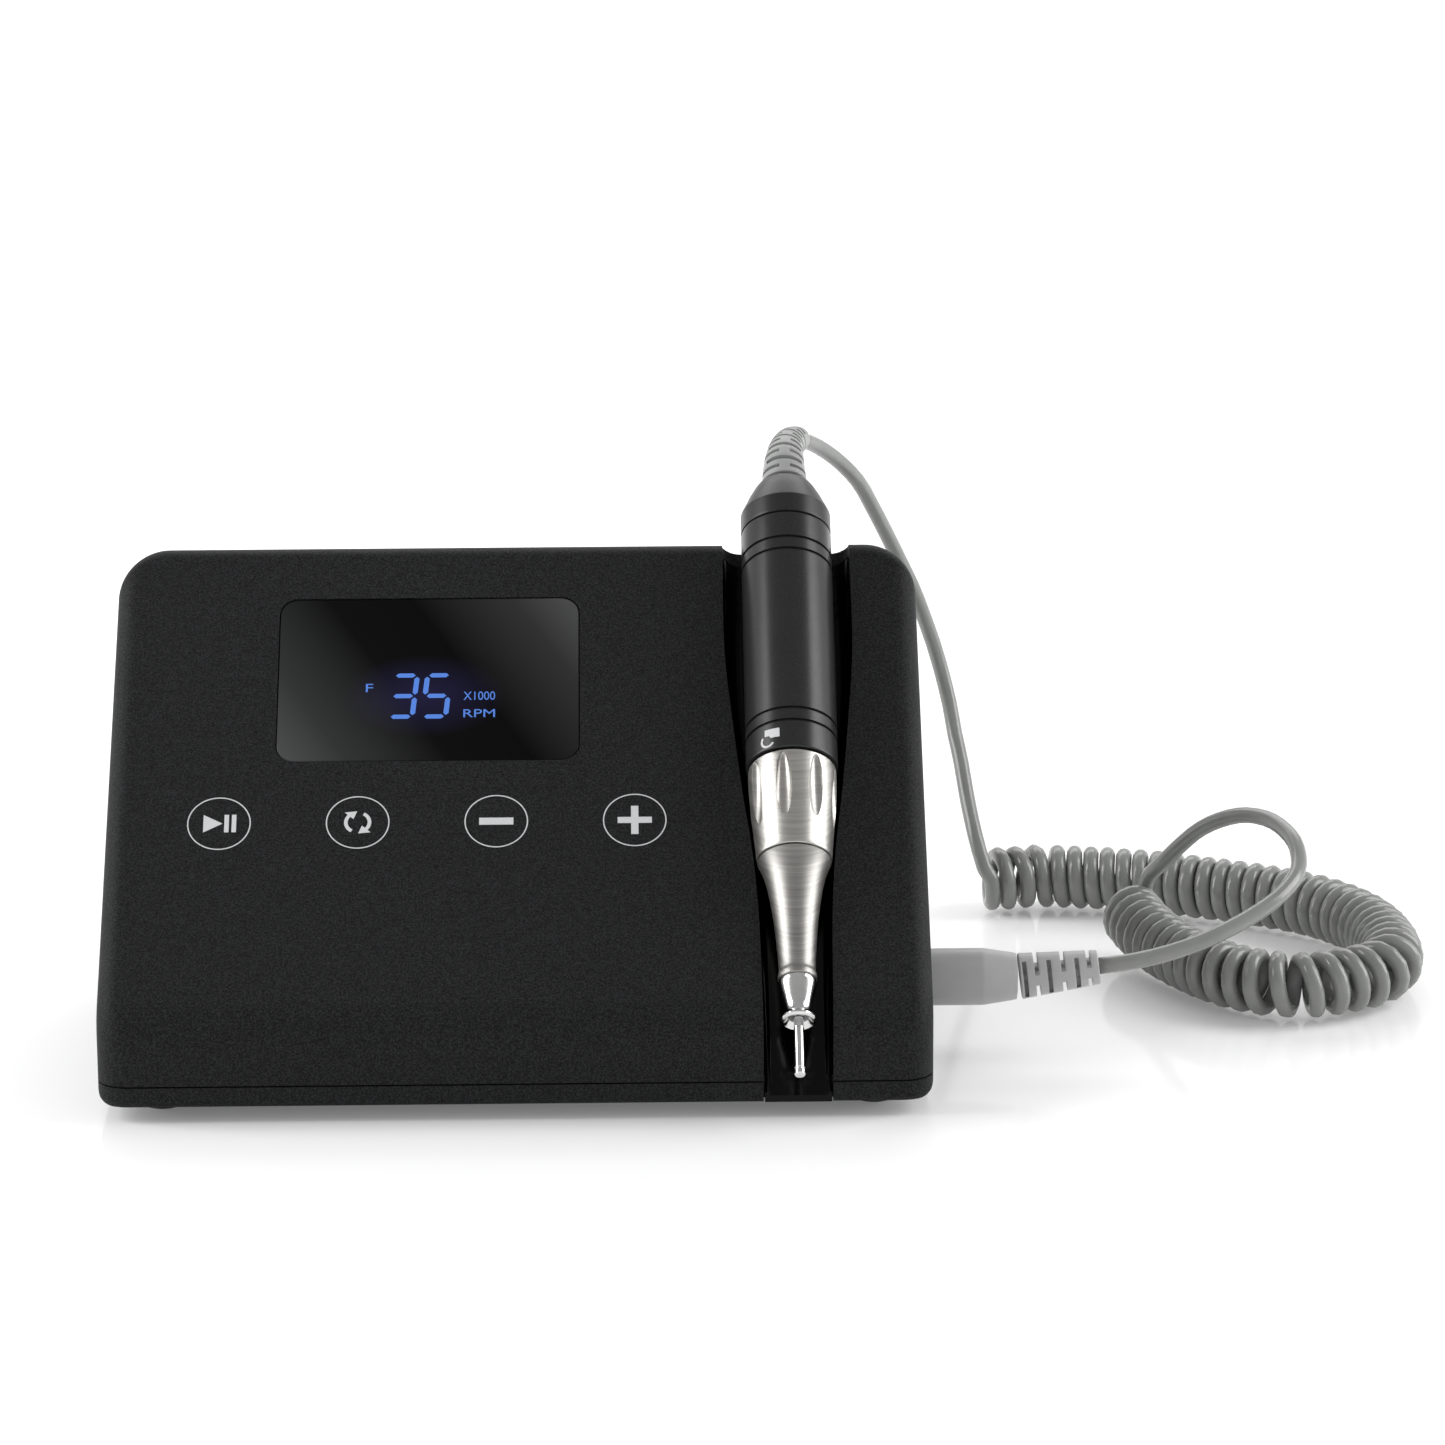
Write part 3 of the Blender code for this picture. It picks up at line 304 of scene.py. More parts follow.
def gloss_black(name):
    """Polished moulding with faint handling haze."""
    made = Finish(name, (0.002, 0.002, 0.002), 0.14, 0.0, **{"Specular IOR Level": 0.12})
    where = made.mapped()
    haze = made.noise(where, 90, 4)
    made.colour(made.ramp(haze, [(0.3, (0.001, 0.001, 0.0011)), (0.7, (0.002, 0.002, 0.0022))]))
    made.roughness(made.spread(haze, 0.08, 0.18))
    made.bump(made.noise(where, 260, 2), 0.00002, 0.4)
    return made.material


def turned_metal(name, dark, pale, roughness, lines=2600, depth=0.00003, anisotropy=0.5):
    """Lathe-turned steel: fine rings round the handpiece's axis."""
    made = Finish(name, pale, roughness, 1.0, Anisotropic=anisotropy)
    along = made.mapped(scale=(30, 30, lines), rotation=PEN_TURN)
    rings = made.noise(along, 1.0, 3, 0.7)
    made.colour(made.ramp(rings, [(0.3, dark), (0.7, pale)]))
    made.roughness(made.spread(rings, roughness - 0.05, roughness + 0.07))
    made.bump(rings, depth, 0.5)
    return made.material


def plain_metal(name, dark, pale, roughness, scale=300):
    made = Finish(name, pale, roughness, 1.0)
    spots = made.noise(made.mapped(), scale, 3)
    made.colour(made.ramp(spots, [(0.3, dark), (0.7, pale)]))
    made.roughness(made.spread(spots, roughness - 0.04, roughness + 0.08))
    made.bump(spots, 0.00001, 0.3)
    return made.material


def anodised(name, tone=1.0, roughness=0.3):
    """Black anodised aluminium, blasted very finely."""
    made = Finish(name, (0.02, 0.02, 0.021), roughness, 0.35)
    grain = made.noise(made.mapped(), 3000, 2)
    dark = tuple(c * tone for c in (0.012, 0.012, 0.0125))
    pale = tuple(c * tone for c in (0.024, 0.024, 0.025))
    made.colour(made.ramp(grain, [(0.3, dark), (0.7, pale)]))
    made.roughness(made.spread(made.noise(made.mapped(), 200, 3), roughness - 0.03, roughness + 0.05))
    made.bump(grain, 0.00002, 0.35)
    return made.material


def soft_grey(name, dark, pale, roughness):
    """Grey cord and moulded strain reliefs: smooth vinyl with slight unevenness."""
    made = Finish(name, pale, roughness)
    where = made.mapped()
    cloud = made.noise(where, 120, 4, 0.6)
    made.colour(made.ramp(cloud, [(0.25, dark), (0.75, pale)]))
    made.roughness(made.spread(cloud, roughness - 0.06, roughness + 0.08))
    made.bump(made.noise(where, 900, 3), 0.00003, 0.35)
    return made.material


def plastic(name, dark, pale, roughness, scale=700):
    made = Finish(name, pale, roughness)
    grain = made.noise(made.mapped(), scale, 3)
    made.colour(made.ramp(grain, [(0.3, dark), (0.7, pale)]))
    made.roughness(made.spread(grain, roughness - 0.05, roughness + 0.05))
    made.bump(grain, 0.00003, 0.4)
    return made.material


def printing(name, colour, glow=0.0):
    """Screen-printed ink, slightly uneven; lit segments glow."""
    made = Finish(name, colour, 0.5)
    spots = made.noise(made.mapped(), 2500, 2)
    made.colour(made.ramp(spots, [(0.2, tuple(c * 0.88 for c in colour)), (0.8, colour)]))
    if glow:
        made.shader.inputs["Emission Color"].default_value = (*colour, 1)
        made.shader.inputs["Emission Strength"].default_value = glow
    return made.material


# ---------------------------------------------------------------- making pieces

def clear_selection():
    if bpy.context.object and bpy.context.object.mode != "OBJECT":
        bpy.ops.object.mode_set(mode="OBJECT")
    bpy.ops.object.select_all(action="DESELECT")


def only(piece):
    clear_selection()
    piece.select_set(True)
    bpy.context.view_layer.objects.active = piece


def settle(piece, matrix=None):
    """The piece's place goes into its mesh, so that its object sits at the origin."""
    only(piece)
    if matrix is not None:
        piece.matrix_world = matrix @ piece.matrix_world
    bpy.ops.object.transform_apply(location=True, rotation=True, scale=True)
    return piece


def apply_modifier(piece, kind, **values):
    only(piece)
    modifier = piece.modifiers.new(kind.lower(), kind)
    for name, value in values.items():
        setattr(modifier, name, value)
    bpy.ops.object.modifier_apply(modifier=modifier.name)


def carve(piece, cutter, operation="DIFFERENCE"):
    apply_modifier(piece, "BOOLEAN", operation=operation, solver="EXACT", object=cutter)
    bpy.data.objects.remove(cutter)


def soften(piece, width, segments=2, angle=35):
    apply_modifier(piece, "BEVEL", width=width, segments=segments, limit_method="ANGLE",
                   angle_limit=math.radians(angle), use_clamp_overlap=True, miter_outer="MITER_ARC")


def smooth(piece, angle=35, weighted=False):
    only(piece)
    bpy.ops.object.shade_smooth_by_angle(angle=math.radians(angle))
    if weighted:
        apply_modifier(piece, "WEIGHTED_NORMAL", keep_sharp=True, weight=60)


def dress(piece, material, body, replaces=()):
    piece.data.materials.clear()
    piece.data.materials.append(material)
    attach(piece, body)
    if replaces:
        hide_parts(*replaces)


def turned(name, stations, sides=96):
    """A round piece drawn out ring by ring along Z from (height, radius) stations in millimetres.

    The last station returns to the first where the piece has a bore."""
    ringed = stations[0] == stations[-1]
    clear_selection()
    height, radius = stations[0]
    bpy.ops.mesh.primitive_circle_add(vertices=sides, radius=radius * MM,
                                      fill_type="NOTHING" if ringed else "NGON")
    piece = bpy.context.object
    piece.name = name
    bpy.ops.object.mode_set(mode="EDIT")
    bpy.ops.mesh.select_all(action="SELECT")
    bpy.ops.transform.translate(value=(0, 0, height * MM))
    for (h0, r0), (h1, r1) in zip(stations, stations[1:]):
        bpy.ops.mesh.extrude_region_move(TRANSFORM_OT_translate={"value": (0, 0, (h1 - h0) * MM)})
        bpy.ops.transform.resize(value=(r1 / r0, r1 / r0, 1))
    bpy.ops.mesh.select_all(action="SELECT")
    if ringed:
        bpy.ops.mesh.remove_doubles(threshold=1e-6)
    bpy.ops.mesh.normals_make_consistent(inside=False)
    bpy.ops.object.mode_set(mode="OBJECT")
    return piece


def block(name, low, high, bevel=0.0, segments=3):
    """A box between two corners in metres, with its edges rounded."""
    clear_selection()
    centre = (Vector(low) + Vector(high)) / 2
    size = Vector(high) - Vector(low)
    bpy.ops.mesh.primitive_cube_add(size=1, location=centre, scale=size)
    piece = bpy.context.object
    piece.name = name
    settle(piece)
    if bevel:
        bpy.ops.object.mode_set(mode="EDIT")
        bpy.ops.mesh.select_all(action="SELECT")
        bpy.ops.mesh.bevel(offset=bevel, segments=segments, affect="EDGES")
        bpy.ops.object.mode_set(mode="OBJECT")
    return piece


def lofted(name, rings):
    """A closed body through rings with the same number of points."""
    bm = bmesh.new()
    loops = [[bm.verts.new(point) for point in ring] for ring in rings]
    count = len(loops[0])
    for low, high in zip(loops, loops[1:]):
        for i in range(count):
            j = (i + 1) % count
            bm.faces.new((low[i], low[j], high[j], high[i]))
    bm.faces.new(reversed(loops[0]))
    bm.faces.new(loops[-1])
    bmesh.ops.remove_doubles(bm, verts=bm.verts, dist=1e-6)
    bmesh.ops.recalc_face_normals(bm, faces=bm.faces)
    mesh = bpy.data.meshes.new(name)
    bm.to_mesh(mesh)
    bm.free()
    piece = bpy.data.objects.new(name, mesh)
    bpy.context.collection.objects.link(piece)
    return piece


def smooth_route(points, spacing):
    """Points spaced evenly along a smooth curve through a route in metres."""
    knots = [Vector(p) for p in points]
    knots = [2 * knots[0] - knots[1], *knots, 2 * knots[-1] - knots[-2]]
    dense = []
    for a, b, c, d in zip(knots, knots[1:], knots[2:], knots[3:]):
        for k in range(16):
            t = k / 16
            dense.append(0.5 * (2 * b + (c - a) * t + (2 * a - 5 * b + 4 * c - d) * t * t
                                + (3 * b - a - 3 * c + d) * t ** 3))
    dense.append(knots[-2])
    lengths = [0.0]
    for one, two in zip(dense, dense[1:]):
        lengths.append(lengths[-1] + (two - one).length)
    steps = max(2, round(lengths[-1] / spacing))
    route, i = [], 0
    for k in range(steps + 1):
        wanted = lengths[-1] * k / steps
        while i < len(dense) - 2 and lengths[i + 1] < wanted:
            i += 1
        share = (wanted - lengths[i]) / max(lengths[i + 1] - lengths[i], 1e-9)
        route.append(dense[i].lerp(dense[i + 1], min(share, 1)))
    return route


def sleeve_along(name, path, radius, sides=CORD_SIDES):
    """A round tube along a path, its rings kept from twisting, with domed ends left flat."""
    rings = []
    side = None
    for i, point in enumerate(path):
        ahead = (path[min(i + 1, len(path) - 1)] - path[max(i - 1, 0)]).normalized()
        if side is None:
            side = ahead.orthogonal().normalized()
        side = (side - ahead * side.dot(ahead)).normalized()
        across = ahead.cross(side)
        rings.append([point + radius * (math.cos(a) * side + math.sin(a) * across)
                      for a in (2 * math.pi * k / sides for k in range(sides))])
    piece = lofted(name, rings)
    for face in piece.data.polygons:
        face.use_smooth = True
    return piece


# ---------------------------------------------------------------- cords

def run_length(path):
    return sum((b - a).length for a, b in zip(path, path[1:]))


def curly_path():
    """The lead's smooth run from the handpiece, then the turns of the curly stretch."""
    lead = smooth_route([place(*p) for p in LEAD_ROUTE], 4 * MM)
    axis = smooth_route([place(*p) for p in COIL_ROUTE], 0.5 * MM)
    turns = []
    phase = math.radians(172)
    side = Vector((0, 1, 0))
    first_ahead = (axis[12] - axis[0]).normalized()
    step = run_length(axis) / (len(axis) - 1)
    for i, point in enumerate(axis[:-1]):
        ahead = (axis[min(i + 3, len(axis) - 1)] - axis[max(i - 3, 0)]).normalized()
        ahead = first_ahead.lerp(ahead, min(i / 30, 1)).normalized()
        wide = (axis[min(i + 8, len(axis) - 1)] - axis[i]), (axis[i] - axis[max(i - 8, 0)])
        bend = wide[0].angle(wide[1], 0) / (8 * step) if min(v.length for v in wide) > 0 else 0
        share = i / len(axis)
        pitch = (4.1 + 1.0 * math.exp(-((share - 0.68) / 0.12) ** 2)) * MM
        pitch = max(pitch, 4.02 * MM / max(1 - COIL_MEAN_RADIUS * bend, 0.5))
        pitch = min(pitch, 6.2 * MM)
        if share > 0.9:
            pitch = 4.1 * MM
        side = (side - ahead * side.dot(ahead)).normalized()
        across = ahead.cross(side)
        count = max(1, round(COIL_POINTS * step / pitch))
        for k in range(count):
            angle = phase + 2 * math.pi * step / pitch * k / count
            middle = point.lerp(axis[i + 1], k / count)
            turns.append(middle + COIL_MEAN_RADIUS * (math.cos(angle) * side + math.sin(angle) * across))
        phase += 2 * math.pi * step / pitch
    return lead, turns


def joined(first, second, steps=8):
    """Points that lead from one run into the next with no kink."""
    a, b = first[-1], second[0]
    reach = (b - a).length
    out = (first[-1] - first[-2]).normalized() * reach
    into = (second[1] - second[0]).normalized() * reach
    between = []
    for k in range(1, steps):
        t = k / steps
        between.append((2 * t ** 3 - 3 * t ** 2 + 1) * a + (t ** 3 - 2 * t ** 2 + t) * out
                       + (3 * t ** 2 - 2 * t ** 3) * b + (t ** 3 - t ** 2) * into)
    return first + between + second


def make_cords(grey):
    lead, turns = curly_path()
    path = joined(lead, turns)
    cord = sleeve_along("curly_cord", path, CORD_DIAMETER / 2)
    cord.data.materials.append(grey)
    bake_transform(cord)
    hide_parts("cord_coil", "cord_handpiece_lead")

    plug_lead = smooth_route([place(*p) for p in PLUG_LEAD_ROUTE], 3 * MM)
    second = joined(plug_lead, [turns[-1], turns[-2]], 6)[:-1]
    tail = sleeve_along("plug_lead", second, CORD_DIAMETER / 2)
    tail.data.materials.append(grey)
    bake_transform(tail)
    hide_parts("cord_plug_lead")
    return cord, path, tail, second


# ---------------------------------------------------------------- control unit

FACE = Matrix.Translation(place(0, 0, BEND_HEIGHT / MM)) @ Matrix.Rotation(FACE_ANGLE, 4, "X")
PLUG = Matrix.Translation(place(-0.5 + CASE_WIDTH / MM / 2, SOCKET_Y / MM, SOCKET_Z / MM)) \
    @ Matrix.Rotation(math.pi / 2, 4, "Y")


def rounded_outline(corners, radii, inset, segments):
    """A convex outline, anticlockwise, moved inwards edge by edge and rounded at its corners."""
    count = len(corners)
    edges = []
    for i in range(count):
        start, end = Vector(corners[i]), Vector(corners[(i + 1) % count])
        along = (end - start).normalized()
        edges.append((start + Vector((-along.y, along.x)) * inset[i], along))
    outline = []
    for i in range(count):
        (p, u), (q, v) = edges[i - 1], edges[i]
        share = ((q.x - p.x) * v.y - (q.y - p.y) * v.x) / (u.x * v.y - u.y * v.x)
        corner = p + u * share
        turn = math.acos(max(-1, min(1, u.dot(v))))
        radius = max(radii[i] - min(inset[i - 1], inset[i]), 0.3 * MM)
        centre = corner - u * radius * math.tan(turn / 2) + Vector((-u.y, u.x)) * radius
        first = math.atan2(-u.x, u.y)
        for k in range(segments + 1):
            angle = first + turn * k / segments
            outline.append((centre.x + radius * math.cos(angle), centre.y + radius * math.sin(angle)))
    return outline


def round_inset(radius, distance):
    """How far a quarter round of this radius has fallen in at a distance from the side."""
    if distance >= radius:
        return 0.0
    return radius - math.sqrt(radius ** 2 - (radius - distance) ** 2)


def case_form(name, wall=0.0, steps=16, segments=12):
    """The wedge of the case with all its edges rounded, moved inwards by a wall thickness."""
    half = CASE_WIDTH / 2 - wall
    radii = [max(radius - wall, 0.5 * MM) for radius in SIDE_RADII]
    top = BEND_HEIGHT + CASE_DEPTH * math.tan(FACE_ANGLE)
    corners = [(0, FOOT_HEIGHT), (CASE_DEPTH, FOOT_HEIGHT), (CASE_DEPTH, top), (0, BEND_HEIGHT)]
    corner_radii = [BASE_RADIUS, BASE_RADIUS, TOP_RADIUS, BEND_RADIUS]
    distances = [max(radii) * (1 - math.cos(math.pi / 2 * k / steps)) for k in range(steps + 1)]
    rings = []
    for side in (-1, 1):
        for distance in distances if side < 0 else reversed(distances):
            insets = [wall + round_inset(radius, distance) for radius in radii]
            outline = rounded_outline(corners, corner_radii, insets, segments)
            rings.append([(side * (half - distance), FRONT + y, z) for y, z in outline])
    return lofted(name, rings)


def trough_form(name, grow=0.0):
    """The U-shaped space of the cradle, larger all round by a thickness and open at the top."""
    plan = smooth_route([(a, b, 0) for a, b in TROUGH_PLAN], 4)
    stations = [(-4, plan[0].y)] + [(p.x, p.y) for p in plan] + [(CASE_DEPTH / MM + 4, plan[-1].y)]
    top = 125 * MM
    rings = []
    for y, half in stations:
        half = half * MM + grow
        low = TROUGH_FLOOR_FRONT + y * MM * math.tan(TROUGH_FLOOR_ANGLE) - grow / math.cos(TROUGH_FLOOR_ANGLE)
        share = min(max(y * MM / CASE_DEPTH, 0), 1)
        fillet = TROUGH_FILLET[0] + (TROUGH_FILLET[1] - TROUGH_FILLET[0]) * share + grow
        ring = [(TROUGH_X - half, FRONT + y * MM, top)]
        for side in (-1, 1):
            for k in range(9):
                turn = math.pi / 2 * (k if side < 0 else 8 - k) / 8
                ring.append((TROUGH_X + side * (half - fillet * (1 - math.cos(turn))), FRONT + y * MM,
                             low + fillet * (1 - math.sin(turn))))
        ring.append((TROUGH_X + half, FRONT + y * MM, top))
        rings.append(ring)
    return lofted(name, rings)


def face_plate(name, size, corner, low, high, centre=(0, 0)):
    """A flat plate with rounded corners lying in the control face."""
    w, h = size[0] / 2, size[1] / 2
    outline = rounded_outline([(-w, -h), (w, -h), (w, h), (-w, h)], [corner] * 4, [0] * 4, 12)
    piece = lofted(name, [[(centre[0] + x, centre[1] + y, z) for x, y in outline] for z in (low, high)])
    return settle(piece, FACE)


def upper_case(black):
    case = case_form("case_top")
    carve(case, block("below_split", (-0.2, -0.2, -0.05), (0.2, 0.2, SPLIT_HEIGHT)))
    carve(case, case_form("hollow", CASE_WALL, 6, 6))
    carve(case, trough_form("trough_space"))
    carve(case, face_plate("window_recess", (WINDOW_SIZE[0] + SEAM, WINDOW_SIZE[1] + SEAM), WINDOW_CORNER,
                           -2 * MM, 5 * MM, WINDOW_CENTRE))
    hole = settle(turned("socket_hole", [(-10, 6.8), (10, 6.8)], 64), PLUG)
    carve(case, hole)
    for x, size in REAR_OPENINGS:
        w, h = size[0] / 2 + 0.3, size[1] / 2 + 0.3
        low = place(x - w, 100, REAR_OPENING_UP - h)
        carve(case, block("rear_hole", low, place(x + w, 120, REAR_OPENING_UP + h)))
    soften(case, 0.45 * MM, 2, 40)
    smooth(case, 40, weighted=True)
    dress(case, black, "case", ["upper_case"])


def lower_case(black):
    base = case_form("case_base")
    carve(base, block("above_split", (-0.2, -0.2, SPLIT_HEIGHT - SEAM), (0.2, 0.2, 0.2)))
    carve(base, block("base_room", place(-90, 5, 5), place(90, 106.4, 30)))
    carve(base, block("front_notch", place(55.6, -5, -5), place(71.4, 4.4, 12)))
    for x, y in BOSS_SPOTS:
        well = turned("screw_well", [(-1, 3.1), (5.3, 3.1)], 32)
        carve(base, settle(well, Matrix.Translation(place(x, y, 0))))
    soften(base, 0.25 * MM, 2, 40)
    smooth(base, 40, weighted=True)
    dress(base, black, "case", ["lower_case"])


def cradle(gloss):
    liner = trough_form("cradle_liner", LINER_WALL)
    carve(liner, case_form("liner_limit", CASE_WALL + 0.3 * MM, 6, 6), "INTERSECT")
    lip = block("cradle_lip", place(55.9, 0.3, 3.3), place(71.1, 4.2, 9.4))
    carve(liner, lip, "UNION")
    carve(liner, trough_form("liner_space"))
    soften(liner, 0.2 * MM, 2, 50)
    smooth(liner, 40, weighted=True)
    dress(liner, gloss, "case", ["handpiece_cradle"])


def on_face(piece, x=0.0, up=0.0, lift=0.0):
    return settle(piece, FACE @ Matrix.Translation((x, up, lift)))


def ink_plate(name, outline, scale=MM):
    """A thin printed shape from an outline of (across, up) points."""
    rings = [[(x * scale, y * scale, z) for x, y in outline] for z in (-0.02 * MM, PRINT)]
    return lofted(name, rings)


def arc_band(inner, outer, first, last, steps=24):
    turn = [math.radians(first + (last - first) * k / steps) for k in range(steps + 1)]
    out = [(outer * math.cos(a), outer * math.sin(a)) for a in turn]
    back = [(inner * math.cos(a), inner * math.sin(a)) for a in reversed(turn)]
    return out + back


def rectangle(width, height, x=0.0, y=0.0):
    return [(x - width / 2, y - height / 2), (x + width / 2, y - height / 2), (x + width / 2, y + height / 2),
            (x - width / 2, y + height / 2)]


def merged(name, pieces):
    """Several printed shapes as one piece."""
    clear_selection()
    for piece in pieces:
        piece.select_set(True)
    bpy.context.view_layer.objects.active = pieces[0]
    bpy.ops.object.join()
    pieces[0].name = name
    return pieces[0]


def key_symbols():
    """The four touch keys' symbols: play and pause, direction, slower, faster."""
    play = [ink_plate("play", [(-3.6, -2.45), (0.8, 0), (-3.6, 2.45)])]
    play += [ink_plate("bar", rectangle(1.05, 4.9, x)) for x in (1.75, 3.45)]
    turn = []
    for start in (125, 305):
        turn.append(ink_plate("arrow_arc", arc_band(2.3, 3.15, start + 12, start + 115)))
        end = math.radians(start + 12)
        tip = [(math.cos(end) * r, math.sin(end) * r) for r in (1.35, 4.1)]
        ahead = math.radians(start - 32)
        tip.insert(1, (math.cos(ahead) * 3.1, math.sin(ahead) * 3.1))
        turn.append(ink_plate("arrow_head", tip))
    slower = [ink_plate("minus", rectangle(7.9, 1.95))]
    cross = [(-3.95, -0.85), (-0.85, -0.85), (-0.85, -3.95), (0.85, -3.95), (0.85, -0.85), (3.95, -0.85),
             (3.95, 0.85), (0.85, 0.85), (0.85, 3.95), (-0.85, 3.95), (-0.85, 0.85), (-3.95, 0.85)]
    faster = [ink_plate("plus", cross)]
    return [("symbol_play_pause", play), ("symbol_direction", turn), ("symbol_slower", slower),
            ("symbol_faster", faster)]


def keys(ink):
    ring_mm = KEY_RING / MM
    for x, (name, shapes) in zip(KEY_X, key_symbols()):
        symbol = on_face(merged(name, shapes), x, KEY_UP)
        dress(symbol, ink, "case")
        inner, outer = ring_mm - 0.14, ring_mm + 0.14
        line = [(-0.02, inner), (-0.02, outer), (0.04, outer), (0.04, inner), (-0.02, inner)]
        ring = on_face(turned(name.replace("symbol", "ring"), line, 96), x, KEY_UP)
        dress(ring, ink, "case")


SEGMENTS = {"a": ((0, 1), (1, 1)), "b": ((1, 1), (1, 0.5)), "c": ((1, 0.5), (1, 0)), "d": ((0, 0), (1, 0)),
            "e": ((0, 0.5), (0, 0)), "f": ((0, 1), (0, 0.5)), "g": ((0, 0.5), (1, 0.5))}


def lit_digit(name, lit, x, low, width, height, thick=1.2):
    """One leaning seven-bar digit."""
    bars = []
    for key in lit:
        (x0, y0), (x1, y1) = [(px * (width - thick), py * (height - thick)) for px, py in SEGMENTS[key]]
        along = Vector((x1 - x0, y1 - y0)).normalized()
        side = Vector((-along.y, along.x)) * thick / 2
        start = Vector((x0, y0)) + along * 0.4
        end = Vector((x1, y1)) - along * 0.4
        point = along * thick / 2
        outline = [start, start + point - side, end - point - side, end, end - point + side,
                   start + point + side]
        outline = [(p.x + thick / 2, p.y + thick / 2) for p in outline]
        bars.append(ink_plate("bar", [(px + 0.09 * py, py) for px, py in outline]))
    return on_face(merged(name, bars), x * MM, low * MM, -0.1 * MM)


def lit_word(name, text, x, low, height, width=None):
    clear_selection()
    bpy.ops.object.text_add()
    word = bpy.context.object
    word.name = name
    word.data.body = text
    word.data.size = height / 0.72 * MM
    word.data.extrude = PRINT / 2
    bpy.ops.object.convert(target="MESH")
    word = bpy.context.object
    low_x = min(v.co.x for v in word.data.vertices)
    span = max(v.co.x for v in word.data.vertices) - low_x
    stretch = width * MM / span if width else 1.0
    for vert in word.data.vertices:
        vert.co.x = (vert.co.x - low_x) * stretch
    only(word)
    bpy.ops.object.mode_set(mode="EDIT")
    bpy.ops.mesh.select_all(action="SELECT")
    bpy.ops.mesh.remove_doubles(threshold=1e-6)
    bpy.ops.object.mode_set(mode="OBJECT")
    return on_face(word, x * MM, low * MM, -0.1 * MM + PRINT / 2)


def display(glass, light):
    window = face_plate("display_glass", WINDOW_SIZE, WINDOW_CORNER, -1.9 * MM, -0.1 * MM, WINDOW_CENTRE)
    soften(window, 0.35 * MM, 3, 60)
    smooth(window, 30, weighted=True)
    dress(window, glass, "case", ["display_window"])
    shown = [lit_digit("digit_tens", "abgcd", -30.9, 84.4, 6.6, 13.1),
             lit_digit("digit_units", "afgcd", -23.1, 84.4, 6.6, 13.1),
             lit_word("word_forward", "F", -35.8, 92.2, 2.5, 1.7),
             lit_word("word_thousands", "X1000", -12.9, 89.7, 2.5, 7.4),
             lit_word("word_speed", "RPM", -12.9, 84.7, 2.4, 7.4)]
    for mark in shown:
        dress(mark, light, "case")


def feet(rubber):
    first = turned("foot_pad", [(0, 3.9), (0.25, 4.7), (0.7, 5.1), (2.3, 5.3), (2.75, 5.5)], 48)
    smooth(first, 30)
    for i, (x, y) in enumerate(FOOT_SPOTS, 1):
        foot = first.copy()
        foot.data = first.data.copy()
        foot.name = f"foot_pad_{i}"
        bpy.context.collection.objects.link(foot)
        settle(foot, Matrix.Translation(place(x, y, 0)))
        dress(foot, rubber, "case", [f"foot_{i}"])
    bpy.data.objects.remove(first)


# ---------------------------------------------------------------- handpiece

def pen_piece(piece, material, body, node, angle=35, weighted=True):
    settle(piece, PEN)
    smooth(piece, angle, weighted)
    dress(piece, material, body, [node])
    return piece


def nose(polished):
    stations = [(19, 1.6), (16.2, 1.6), (15.5, 2.6), (14.1, 3.3), (13.95, 3.5), (14.1, 3.85), (14.4, 4.08),
                (14.8, 4.05), (15.1, 3.75), (15.5, 3.35), (16.1, 3.08), (17, 3.02), (18.2, 3.14),
                (19.6, 3.42), (21, 3.76), (22.4, 4.08), (23.4, 4.3), (24.1, 4.4), (24.5, 4.32), (24.6, 3.5),
                (26, 3.5)]
    pen_piece(turned("nose", stations, 96), polished, "handpiece", "nose_cone")


def sleeve(steel):
    stations = [(24.75, 3.4), (24.75, 4.2), (24.95, 4.42), (25.9, 4.46), (26.4, 4.38), (26.7, 4.22),
                (27.4, 4.2), (29, 4.24), (32, 4.38), (36, 4.68), (41, 5.12), (45, 5.65), (49.7, 6.4),
                (53, 7.2), (55.6, 8.15), (56.3, 8.5), (56.4, 8.3), (56.4, 5), (30, 3.4), (24.75, 3.4)]
    pen_piece(turned("front_sleeve_shell", stations, 96), steel, "handpiece", "front_sleeve")


def fluted_sleeve(steel):
    stations = [(56.75, 7.6), (56.75, 8.35), (56.95, 8.65), (58, 8.78), (60, 8.9), (64.4, 9.3), (69, 9.75),
                (75, 10.1), (79, 10.25), (81.0, 10.2), (81.35, 9.95), (81.4, 7.6), (56.75, 7.6)]
    grip = turned("fluted_sleeve", stations, 160)
    for k in range(8):
        clear_selection()
        bpy.ops.mesh.primitive_uv_sphere_add(segments=48, ring_count=32, radius=1)
        flute = bpy.context.object
        flute.scale = (2.17 * MM, 2 * MM, 11.7 * MM)
        settle(flute)
        lean = Matrix.Rotation(math.radians(-3.4), 4, "X")
        out = Matrix.Translation((0, -(9.75 + 1.05) * MM, 69 * MM))
        settle(flute, Matrix.Rotation(math.radians(-13 + 45 * k), 4, "Z") @ out @ lean)
        carve(grip, flute)
    soften(grip, 0.12 * MM, 2, 30)
    pen_piece(grip, steel, "chuck_ring", "twist_sleeve", 30)


def barrel(black):
    def groove(at, depth=0.5, half=0.42):
        return [(at - half, 10.7), (at - half + 0.12, 10.7 - depth), (at + half - 0.12, 10.7 - depth),
                (at + half, 10.7)]

    stations = [(81.75, 9.2), (81.75, 10.3), (81.95, 10.62), (82.4, 10.7)]
    for at in (89, 92.4, 137.6, 141.0):
        stations += groove(at)
    stations += [(147.7, 10.7), (148.1, 10.6), (148.25, 10.3), (148.25, 9.2), (81.75, 9.2)]
    pen_piece(turned("barrel_shell", stations, 128), black, "handpiece", "barrel", 25)


